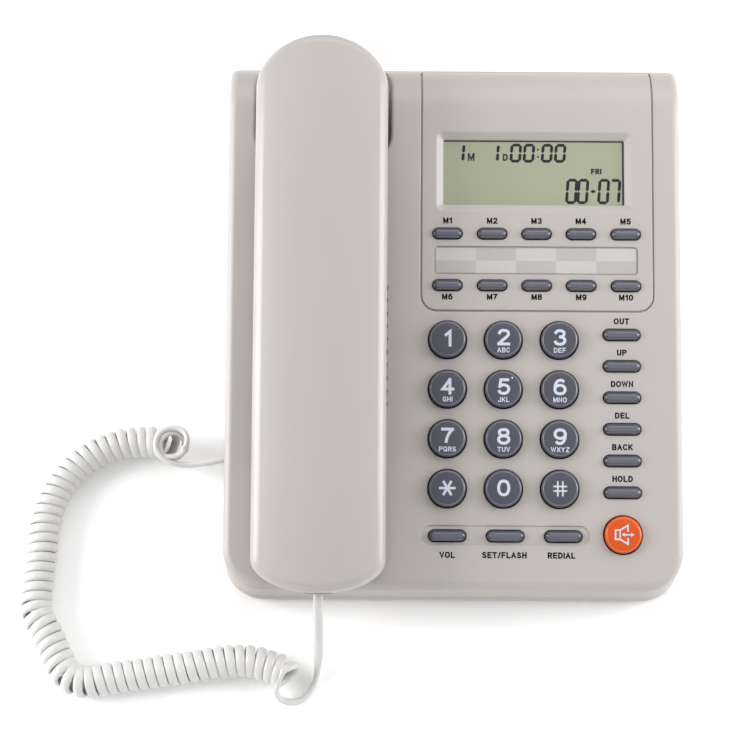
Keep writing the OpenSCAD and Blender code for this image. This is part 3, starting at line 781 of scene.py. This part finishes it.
def segment_digit(shape, text, x, f, size, height):
    """A slanted seven-segment figure whose lower left corner is x, f."""
    w, l = size
    t = 1.2
    slant = 0.07
    bars = {"a": ((0, l), (w, l)), "g": ((0, l / 2), (w, l / 2)), "d": ((0, 0), (w, 0)),
            "f": ((0, l / 2), (0, l)), "e": ((0, 0), (0, l / 2)),
            "b": ((w, l / 2), (w, l)), "c": ((w, 0), (w, l / 2))}
    for key in SEGMENTS[text]:
        (ax, ay), (bx, by) = bars[key]
        run = Vector((bx - ax, by - ay)).normalized()
        out = Vector((-run.y, run.x)) * t / 2
        trim = run * (t * 0.02)
        tip = run * (t * 0.5)
        a, b = Vector((ax, ay)) + trim, Vector((bx, by)) - trim
        outline = [a, a + tip + out, b - tip + out, b, b - tip - out, a + tip - out]
        shape.cap(shape.ring([on_face(x + p.x + slant * p.y, f + p.y, height) for p in outline]))


def display():
    glass = Shape()
    loops = [rounded(LCD_MID, (LENS_SIZE[0] + grow, LENS_SIZE[1] + grow), 0.6)
             for grow in (3, 3, 2.7)]
    glass.rings([lift(loop, h, on_face) for loop, h in zip(loops, (-5.4, -2.75, -2.6))])
    glass.fill(loops[2], [], lambda x, f: on_face(x, f, -2.6))
    glass.object("display_glass", "base", "lcd_glass", LCD, node="lcd_module")

    figures = Shape()
    height = -2.57
    left, top = LCD_MID[0] - LENS_SIZE[0] / 2, LCD_MID[1] + LENS_SIZE[1] / 2
    small, big = (3.5, 6.6), (3.5, 9.2)
    for text, x in (("1", 4.3), ("1", 18.2), ("0", 27.2), ("0", 32.5), ("0", 39.8), ("0", 45.1)):
        segment_digit(figures, text, left + x, top - 8.4, small, height)
    for text, x in (("0", 49.6), ("0", 54.1), ("-", 58.9), ("0", 62.5), ("7", 67)):
        size = big if text != "-" else (2.2, 9.2)
        segment_digit(figures, text, left + x, top - 25.3, size, height)
    for f in (top - 3.6, top - 6.6):
        spot = disc((left + 38.1, f), 0.42, 12)
        figures.cap(figures.ring(lift(spot, height, on_face)))
    figures.object("display_figures", "base", "black_parts", SEGMENT, weighted=False)

    # Painted shadow: dark strips along the inside top and right edges of the window, where the
    # recess shades the display.
    shadow_strips = Shape()
    right, low = left + LENS_SIZE[0], top - LENS_SIZE[1]
    for x0, x1, f0, f1 in ((right - 0.8, right, low, top), (left, right - 0.8, top - 0.6, top)):
        strip = ((x0, f0), (x1, f0), (x1, f1), (x0, f1))
        shadow_strips.cap(shadow_strips.ring(lift(strip, height, on_face)))
    shadow_strips.object("display_mask", "base", "black_parts", WINDOW_SHADOW, weighted=False)
    words = [("M", 11.1, 6.8, 3.3), ("D", 24.9, 6.9, 2.9), ("FRI", 61.6, 12.5, 2.3)]
    letters = [lettering(text, left + x, top - f, size, 0.6, height, 0.95, 0.2)
               for text, x, f, size in words]
    join("display_words", letters, "base", SEGMENT)

    outline = rounded(LCD_MID, (LENS_SIZE[0] + 0.4, LENS_SIZE[1] + 0.4), 0.5)
    pane("display_lens", "lcd_window", outline, (-2.35, -2.0))


def pane(name, node, outline, levels):
    """A clear window between two heights off the face."""
    shape = Shape()
    shape.rings([lift(outline, h, on_face) for h in levels])
    for h in levels:
        shape.fill(outline, [], lambda x, f, h=h: on_face(x, f, h))
    shape.object(name, "base", "clear_lens", LENS, node=node)


def index_strip():
    for name, mat, parity in (("index_card_light", CARD, 0), ("index_card_tinted", CARD_TINT, 1)):
        cells = Shape()
        w, l = 80.4 / 5, 10.2 / 2
        for column in range(5):
            for row in range(2):
                if (column + row) % 2 != parity:
                    continue
                x = INDEX_MID[0] - 40.2 + column * w
                f = INDEX_MID[1] + 5.1 - (row + 1) * l
                top = [(x, f), (x + w, f), (x + w, f + l), (x, f + l)]
                cells.cap(cells.rings([lift(top, h, on_face) for h in (-0.94, -0.56)])[-1])
        cells.object(name, "base", "paper_card", mat, 30, node=None if parity else "index_card")
    pane("index_cover", "index_window", rounded(INDEX_MID, (81.3, 11.1), 1.7), (-0.45, -0.15))


# ---- lettering ----

def mirrored(strokes):
    return [(kind, [(4 - x, 6 - y) for x, y in points]) for kind, points in strokes]


# Each letter is drawn with straight (s), curved (c) and closed (o) strokes on a grid 6 high.
STEM = ("s", [(0.2, 0), (0.2, 6)])
BOWL = [("s", [(0.2, 0), (0.2, 6), (2.3, 6)]), ("s", [(0.2, 2.8), (2.3, 2.8)]),
        ("c", [(2.3, 6), (3.6, 5.6), (3.9, 4.4), (3.5, 3.2), (2.3, 2.8)])]
ROUND = ("o", [(2.2, 6), (3.8, 5.2), (4.4, 3), (3.8, 0.8), (2.2, 0), (0.6, 0.8), (0, 3), (0.6, 5.2)])
SIX = [("c", [(3.6, 5.1), (2.6, 5.95), (1.2, 5.6), (0.3, 4.1), (0.05, 2)]),
       ("o", [(2, 0), (3.4, 0.5), (3.95, 1.9), (3.4, 3.2), (2, 3.75), (0.6, 3.2), (0.05, 1.9),
              (0.6, 0.5)])]
GLYPHS = {
    "0": [("o", [(2, 6), (3.35, 5.3), (3.95, 3), (3.35, 0.7), (2, 0), (0.65, 0.7), (0.05, 3),
                 (0.65, 5.3)])],
    "1": [("s", [(0.3, 4.6), (1.8, 6), (1.8, 0)])],
    "2": [("c", [(0.15, 4.3), (0.9, 5.7), (2.1, 6), (3.4, 5.6), (3.8, 4.4), (3.2, 3.2),
                 (1.5, 1.6), (0.1, 0)]), ("s", [(0.1, 0), (3.9, 0)])],
    "3": [("c", [(0.2, 4.6), (0.9, 5.7), (2, 6), (3.3, 5.6), (3.6, 4.6), (3, 3.5), (1.7, 3.2)]),
          ("c", [(1.7, 3.2), (3.3, 2.9), (3.9, 1.7), (3.3, 0.4), (2, 0), (0.7, 0.4), (0.1, 1.5)])],
    "4": [("s", [(2.9, 0), (2.9, 6)]), ("s", [(2.7, 5.7), (0.2, 1.8), (4, 1.8)])],
    "5": [("s", [(3.5, 6), (0.9, 6), (0.5, 3.1)]),
          ("c", [(0.5, 3.1), (1.9, 3.8), (3.4, 3.2), (3.9, 1.9), (3.3, 0.5), (1.9, 0), (0.7, 0.4),
                 (0.1, 1.4)])],
    "6": SIX,
    "7": [("s", [(0.1, 6), (3.9, 6)]), ("c", [(3.8, 6), (2.6, 4.1), (1.8, 2.2), (1.4, 0)])],
    "8": [("o", [(2, 6), (3.3, 5.6), (3.65, 4.6), (3.1, 3.6), (2, 3.2), (0.9, 3.6), (0.35, 4.6),
                 (0.7, 5.6)]),
          ("o", [(2, 3.2), (3.4, 2.8), (3.95, 1.6), (3.3, 0.4), (2, 0), (0.7, 0.4), (0.05, 1.6),
                 (0.6, 2.8)])],
    "9": mirrored(SIX),
    "#": [("s", [(1.2, 0), (1.2, 6)]), ("s", [(2.9, 0), (2.9, 6)]), ("s", [(0, 4), (4.1, 4)]),
          ("s", [(0, 2), (4.1, 2)])],
    "/": [("s", [(0, 0), (1.9, 6)])],
    "A": [("s", [(0, 0), (2.1, 6), (4.2, 0)]), ("s", [(0.8, 2), (3.4, 2)])],
    "B": [("s", [(2.2, 6), (0.2, 6), (0.2, 0), (2.4, 0)]), ("s", [(0.2, 3.15), (2.3, 3.15)]),
          ("c", [(2.2, 6), (3.4, 5.6), (3.6, 4.6), (3.3, 3.5), (2.2, 3.15)]),
          ("c", [(2.3, 3.15), (3.6, 2.7), (3.9, 1.6), (3.5, 0.4), (2.3, 0)])],
    "C": [("c", [(3.9, 4.2), (3.3, 5.6), (2.1, 6), (0.7, 5.3), (0.1, 3), (0.7, 0.7), (2.1, 0),
                 (3.3, 0.4), (3.9, 1.8)])],
    "D": [("s", [(1.8, 0), (0.2, 0), (0.2, 6), (1.8, 6)]),
          ("c", [(1.8, 6), (3.4, 5.2), (4, 3), (3.4, 0.8), (1.8, 0)])],
    "E": [("s", [(3.6, 6), (0.2, 6), (0.2, 0), (3.7, 0)]), ("s", [(0.2, 3.1), (3.3, 3.1)])],
    "F": [("s", [(3.5, 6), (0.2, 6), (0.2, 0)]), ("s", [(0.2, 3), (3.1, 3)])],
    "G": [("c", [(3.9, 4.4), (3.3, 5.6), (2.1, 6), (0.7, 5.3), (0.1, 3), (0.7, 0.7), (2.1, 0),
                 (3.3, 0.5), (3.95, 1.5)]), ("s", [(2.4, 2.8), (3.95, 2.8), (3.95, 0.2)])],
    "H": [STEM, ("s", [(3.9, 0), (3.9, 6)]), ("s", [(0.2, 3.1), (3.9, 3.1)])],
    "I": [STEM],
    "J": [("s", [(3.2, 6), (3.2, 1.7)]), ("c", [(3.2, 1.7), (2.8, 0.4), (1.6, 0), (0.5, 0.4),
                                                (0.1, 1.8)])],
    "K": [STEM, ("s", [(3.8, 6), (0.2, 2.1)]), ("s", [(1.5, 3.6), (4, 0)])],
    "L": [("s", [(0.2, 6), (0.2, 0), (3.4, 0)])],
    "M": [STEM, ("s", [(5, 0), (5, 6)]), ("s", [(0.5, 5.7), (2.6, 0.6), (4.7, 5.7)])],
    "N": [("s", [(0.2, 0), (0.2, 6), (3.9, 0), (3.9, 6)])],
    "O": [ROUND],
    "P": BOWL,
    "Q": [ROUND, ("s", [(2.8, 1.6), (4.2, 0)])],
    "R": BOWL + [("s", [(2.2, 2.8), (3.8, 0)])],
    "S": [("c", [(3.6, 4.5), (3.1, 5.6), (2, 6), (0.8, 5.6), (0.4, 4.5), (1.1, 3.5), (2.9, 2.6),
                 (3.8, 1.6), (3.2, 0.4), (2, 0), (0.7, 0.4), (0.1, 1.7)])],
    "T": [("s", [(0, 6), (4, 6)]), ("s", [(2, 6), (2, 0)])],
    "U": [("s", [(0.2, 6), (0.2, 1.9)]), ("s", [(3.9, 1.9), (3.9, 6)]),
          ("c", [(0.2, 1.9), (0.7, 0.5), (2.05, 0), (3.4, 0.5), (3.9, 1.9)])],
    "V": [("s", [(0, 6), (2, 0), (4, 6)])],
    "W": [("s", [(0, 6), (1.4, 0), (2.9, 5.6), (4.4, 0), (5.8, 6)])],
    "X": [("s", [(0, 6), (4, 0)]), ("s", [(0, 0), (4, 6)])],
    "Y": [("s", [(0, 6), (2, 3), (4, 6)]), ("s", [(2, 3), (2, 0)])],
    "Z": [("s", [(0.1, 6), (3.9, 6), (0.1, 0), (3.9, 0)])],
}


def smooth(points, closed):
    """A flat curve through points, six steps to each span."""
    pts = [Vector(p) for p in points]
    count = len(pts)
    out = []
    for i in range(count if closed else count - 1):
        span = pts[max(i - 1, 0)], pts[i], pts[(i + 1) % count], pts[min(i + 2, count - 1)]
        if closed:
            span = (pts[(i + k) % count] for k in (-1, 0, 1, 2))
        a, b, c, d = span
        out += [spline(a, b, c, d, k / 6) for k in range(6)]
    return out if closed else out + [pts[-1]]


def ribbon(shape, line, wide, place, closed=False, square=True):
    """A band of even width along a flat line, with mitred corners."""
    count = len(line)
    if square and not closed:
        ahead, behind = (line[1] - line[0]).normalized(), (line[-1] - line[-2]).normalized()
        line = [line[0] - ahead * wide / 2] + line[1:-1] + [line[-1] + behind * wide / 2]
    pairs = []
    for i in range(count):
        before = line[i] - line[i - 1] if i or closed else line[1] - line[0]
        after = line[(i + 1) % count] - line[i] if i < count - 1 or closed else before
        a, b = before.normalized(), after.normalized()
        normal = Vector((-a.y - b.y, a.x + b.x)).normalized()
        reach = wide / 2 / max(0.45, normal.dot(Vector((-a.y, a.x))))
        pairs.append((line[i] + normal * reach, line[i] - normal * reach))
    ring = shape.ring([place(p.x, p.y) for pair in pairs for p in pair])
    for i in range(count if closed else count - 1):
        j = (i + 1) % count
        shape.faces.append((ring[2 * i], ring[2 * j], ring[2 * j + 1], ring[2 * i + 1]))


def lettering(text, x, f, tall, stroke, height, wide=1.0, gap=0.4):
    """A word drawn in strokes on the face, its middle at x, f and tall from top to bottom."""
    unit = (tall - stroke) / 6
    sizes = [max(p[0] for _, points in GLYPHS[c] for p in points) * unit * wide for c in text]
    start = x - (sum(sizes) + len(text) * stroke + (len(text) - 1) * gap) / 2 + stroke / 2
    shape = Shape()
    for letter, size in zip(text, sizes):
        for layer, (kind, points) in enumerate(GLYPHS[letter]):
            level = height + LAYER * layer
            flat = [(px * unit * wide, (py - 3) * unit) for px, py in points]
            line = [Vector(p) for p in flat] if kind == "s" else smooth(flat, kind == "o")
            ribbon(shape, line, stroke, lambda a, b: on_face(start + a, f + b, level),
                   kind == "o", kind == "s")
        start += size + stroke + gap
    return shape.mesh("word")


def join(name, meshes, body, mat):
    """One piece out of several meshes."""
    work = bmesh.new()
    for mesh in meshes:
        work.from_mesh(mesh)
    mesh = bpy.data.meshes.new(name)
    work.to_mesh(mesh)
    work.free()
    mesh.materials.clear()
    mesh.materials.append(mat)
    piece = bpy.data.objects.new(name, mesh)
    bpy.context.scene.collection.objects.link(piece)
    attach(piece, body)


def housing_labels():
    words = []

    def label(text, x, f):
        words.append(lettering(text, x, f, LABEL_TALL, LABEL_STROKE, 0.03, LABEL_WIDE, LABEL_GAP))

    for i, text in enumerate(SIDE_LABELS):
        x, f = side_place(i)
        label(text, x, f + 5.5)
    for i, text in enumerate(FRONT_LABELS):
        x, f = front_place(i)
        label(text, x - 0.4 * i, f - 7.5)
    for i in range(10):
        x, f = memory_place(i)
        label(f"M{i + 1}", x, f + (5.3 if i < 5 else -4.6))
    join("housing_labels", words, "base", LABEL)


# ---- keys ----

def lathe(shape, profile, mid, count=64):
    """Rings about the face's normal at mid; profile holds radius and height."""
    return shape.rings([lift(disc(mid, r, count), h, on_face) for r, h in profile])


def paint_highlight(piece, mat, low, high):
    """Gives a second, lighter colour to the faces whose slope off the panel lies between two values,
    as a painted highlight.
    """
    up = FACE_FRAME.to_3x3() @ Vector((0, 0, 1))
    piece.data.materials.append(mat)
    for face in piece.data.polygons:
        if low < face.normal.dot(up) < high:
            face.material_index = 1


def key_cap(shape, rings, name, slot, mat, sharp, lit_mat, slopes):
    """Closes a key's cap and gives the faces between two slopes a lighter second colour as a painted
    highlight.
    """
    shape.cap(rings[-1])
    shape.cap(rings[0][::-1])
    piece = shape.object(name + "_cap", name, slot, mat, sharp, weighted=False, node=name)
    paint_highlight(piece, lit_mat, *slopes)


def round_key(name, mid, top, mat, rim_highlight_mat, slot):
    r = DIGIT_R - 0.1
    profile = [(r - 0.1, -3), (r, -2.5), (r, top - 1.3), (r - 0.12, top - 0.9),
               (r - 0.38, top - 0.34), (r - 0.66, top - 0.08), (r - 0.9, top), (r * 0.5, top)]
    shape = Shape()
    # Painted highlight: the bevel faces, sloped between 0.5 and 0.97 off the panel, take the lighter
    # rim colour.
    key_cap(shape, lathe(shape, profile, mid), name, slot, mat, 28, rim_highlight_mat, (0.5, 0.97))


def long_key(name, mid, size):
    shape = Shape()
    steps = [(-0.05, -3), (0, -2.6), (0, PILL_TOP - 1.1), (-0.12, PILL_TOP - 0.9),
             (-0.75, PILL_TOP - 0.35), (-1, PILL_TOP - 0.2), (-1.35, PILL_TOP - 0.07),
             (-0.485 * size[1], PILL_TOP)]
    rings = shape.rings([lift(pill(mid, size, grow), h, on_face) for grow, h in steps])
    # Painted highlight: the nearly flat top faces take the lighter band colour.
    key_cap(shape, rings, name, "grey_keys", GLOSS, 32, LONG_KEY_TOP_HIGHLIGHT, (0.93, 2))


def star(x, f, height):
    """A six-armed star of bars."""
    shape = Shape()
    for layer, turn in enumerate((0, math.pi / 3, -math.pi / 3)):
        level = height + LAYER * layer
        run = Vector((math.cos(turn), math.sin(turn))) * 2.75
        middle = Vector((x, f))
        ribbon(shape, [middle - run, middle + run], 1.0, lambda a, b: on_face(a, b, level))
    return shape.mesh("star")


def keys():
    for i, text in enumerate(DIGITS):
        name = "key_" + text
        x, f = digit_place(i)
        round_key(name, (x, f), DIGIT_TOP, GREY, GREY_KEY_RIM_HIGHLIGHT, "grey_keys")
        height = DIGIT_TOP + INK
        if text == "star":
            words = [star(x, f, height)]
        elif text == "hash":
            words = [lettering("#", x, f, 6, 0.62, height, 1.3)]
        else:
            raised = 0.8 if text in LETTERS else 0.2
            words = [lettering(text, x, f + raised, DIGIT_TALL, DIGIT_STROKE, height, DIGIT_WIDE)]
        if text in LETTERS:
            words.append(lettering(LETTERS[text], x, f - 4.35, LETTER_TALL, LETTER_STROKE, height,
                                   LETTER_WIDE, LETTER_GAP))
        if text == "5":
            words.append(pip(x + 3.4, f + 4.3, height))
        join(name + "_legend", words, name, LEGEND)
    # The speaker key's bevel carries a painted highlight in lighter orange.
    round_key("key_speaker", SPEAKER_KEY, SPEAKER_TOP, ORANGE, ORANGE_KEY_RIM_HIGHLIGHT, "orange_key")
    speaker_symbol()
    for i in range(10):
        long_key(f"key_m{i + 1}", memory_place(i), MEMORY_SIZE)
    for i, text in enumerate(SIDE_KEYS):
        long_key("key_" + text, side_place(i), PILL_SIZE)
    for i, text in enumerate(FRONT_KEYS):
        long_key("key_" + text, front_place(i), PILL_SIZE)


def pip(x, f, height):
    """The raised dot on the 5."""
    shape = Shape()
    profile = [(r, height + h) for r, h in ((0.42, -0.05), (0.4, 0.1), (0.26, 0.24), (0.05, 0.28))]
    shape.cap(lathe(shape, profile, (x, f), 16)[-1])
    return shape.mesh("pip")


def speaker_symbol():
    """A loudspeaker outline with a double arrow."""
    shape = Shape()
    x0, f0 = SPEAKER_KEY

    def place(a, b):
        return on_face(x0 + a, f0 + b, SPEAKER_TOP + INK)

    horn = [(1.7, 1.5), (1.7, 3.7), (-1.4, 1.8), (-3.2, 1.8), (-3.2, -1.8), (-1.4, -1.8),
            (1.7, -3.7), (1.7, -1.5)]
    ribbon(shape, [Vector(p) for p in horn], 0.62, place)
    ribbon(shape, [Vector((-1.4, -1.5)), Vector((-1.4, 1.5))], 0.5, place, square=False)
    ribbon(shape, [Vector((0.1, 0)), Vector((3.3, 0))], 0.5, place)
    for tip, way in ((-0.8, 1), (4.2, -1)):
        corners = ((tip, 0), (tip + way * 1.3, 0.85), (tip + way * 1.3, -0.85))
        shape.cap(shape.ring([on_face(x0 + a, f0 + b, SPEAKER_TOP + 0.03) for a, b in corners]))
    shape.object("key_speaker_legend", "key_speaker", "grey_keys", LEGEND, weighted=False)


# ---- handset ----

def handset_stations(inset, count=22):
    """Half widths of the handset's outline along its length, front to back."""
    a = HS_HALF - inset
    out = []
    for k in range(count + 1):
        turn = math.pi / 2 * k / count
        out.append((a * math.sin(turn),
                    HS_F0 + HS_FRONT_ARC - (HS_FRONT_ARC - inset) * math.cos(turn)))
    for k in range(1, 24):
        share = k / 24
        out.append((a, HS_F0 + HS_FRONT_ARC
                    + share * (HS_F1 - HS_BACK_ARC - HS_F0 - HS_FRONT_ARC)))
    for k in range(count + 1):
        turn = math.pi / 2 * (1 - k / count)
        out.append((a * math.sin(turn),
                    HS_F1 - HS_BACK_ARC + (HS_BACK_ARC - inset) * math.cos(turn)))
    return out


def handset_loop(inset):
    stations = handset_stations(inset)
    return ([(HS_X + w, f) for w, f in stations[:-1]]
            + [(HS_X - w, f) for w, f in reversed(stations[1:])])


def crown(x, f):
    """Height of the handset's upper surface."""
    middle = (HS_F0 + HS_F1) / 2
    along = (f - middle) / (HS_F1 - middle)
    return (HS_TOP - HS_CROWN_R + math.sqrt(HS_CROWN_R ** 2 - (x - HS_X) ** 2)
            - 2.2 * abs(along) ** 4)


def ease(t):
    t = max(0.0, min(1.0, t))
    return t * t * (3 - 2 * t)


def underside(f):
    """Height of the handset's lower surface: two low ends and a raised grip."""
    front = ease((f - 40) / 14)
    back = 1 - ease((f - 158) / 14)
    return LOW_ENDS + (GRIP - LOW_ENDS) * min(front, back)


def grid(shape, inset, height, across=24):
    """A surface over the handset's outline, as rows across it."""
    shares = [math.sin(math.pi / 2 * (2 * k / across - 1)) for k in range(across + 1)]
    rows = []
    for w, f in handset_stations(inset):
        places = [HS_X + w * share for share in shares]
        rows.append(shape.ring([on_face(x, f, height(x, f)) for x in places]))
    for a, b in zip(rows, rows[1:]):
        shape.bridge(a, b, closed=False)


def handset_upper():
    shape = Shape()
    edge = 3.4
    loops = [lift(handset_loop(inset), HS_SEAM + h, on_face) for inset, h in seam_steps(1.5)]
    loops += [[on_face(x, f, crown(x, f) - drop) for x, f in handset_loop(inset)]
              for inset, drop in corner(edge, 7)]
    shape.rings(loops)
    grid(shape, edge, crown)
    shape.object("handset_upper", "handset", "handset_shell", SHELL, 50, node="handset_cover")


def cup(shape, mid_f, size, bottom, holes):
    """A cup on the handset's underside with a dished face."""
    def outline(grow):
        return grown((HS_X, mid_f), size, 9, grow, 10)

    loops = [lift(outline(0.8), 4, on_face), lift(outline(0), bottom + CUP_EDGE, on_face)]
    loops += [lift(outline(-inset), bottom + rise, on_face) for inset, rise in corner(CUP_EDGE, 4)]
    loops += [lift(outline(grow), bottom + rise, on_face)
              for grow, rise in ((-4, 0.1), (-5.5, 0.7), (-7, 1.0))]
    shape.rings(loops)
    for hole in holes:
        shape.rings([lift(hole, bottom + h, on_face) for h in (1.0, 3.0)])
        shape.cap(shape.ring(lift(hole, bottom + 3.0, on_face)))
    shape.fill(outline(-7), holes, lambda x, f: on_face(x, f, bottom + 1.0))


def handset_lower():
    shape = Shape()
    edge = 2.4
    loops = [lift(handset_loop(inset), HS_SEAM - h, on_face) for inset, h in seam_steps(1.5)]
    loops += [[on_face(x, f, underside(f) + rise) for x, f in handset_loop(inset)]
              for inset, rise in corner(edge, 5)]
    count = len(loops[3])
    gate = [(i - 3) % count for i in range(7)]
    shape.rings(loops, strip=3, skip=gate[:-1])
    mouth = [loops[3][i] for i in gate] + [loops[4][i] for i in reversed(gate)]
    inwards = on_face(0, 3) - on_face(0, 0)
    shape.rings([mouth, [p + inwards for p in mouth]])
    grid(shape, edge, lambda x, f: underside(f))
    ear = (HS_X, EAR_MID)
    ear_holes = [disc(mid, 0.9, 12) for mid in [ear] + disc(ear, 4.5, 6)]
    cup(shape, EAR_MID, EAR_CUP, EAR_FLOOR + 0.25, ear_holes)
    cup(shape, MOUTH_MID, MOUTH_CUP, MOUTH_FLOOR + 0.25, [pill((HS_X, MOUTH_MID), (8, 1.6))])
    shape.object("handset_lower", "handset", "handset_shell", SHELL, 50, node="handset_face")


# ---- carried CAD nodes ----

def finish_nodes():
    looks = {"line_jack": BLACK, "cord_jack": BLACK, "hook_plunger": SHELL, "hook_switch": BLACK,
             "rubber_feet": RUBBER, "base_screws": STEEL, "handset_screws": STEEL,
             "receiver": BLACK, "microphone": STEEL, "handset_socket": BLACK,
             "cord_plug_handset": CLEAR, "cord_plug_base": CLEAR, "keypad_mat": RUBBER,
             "main_board": BOARD, "base_speaker": BLACK}
    for node, mat in looks.items():
        mesh = bpy.data.objects[node].data
        mesh.materials.clear()
        mesh.materials.append(mat)


studio()
handset_cord()
housing_top()
housing_bottom()
display_surround()
display()
index_strip()
housing_labels()
keys()
handset_upper()
handset_lower()
finish_nodes()
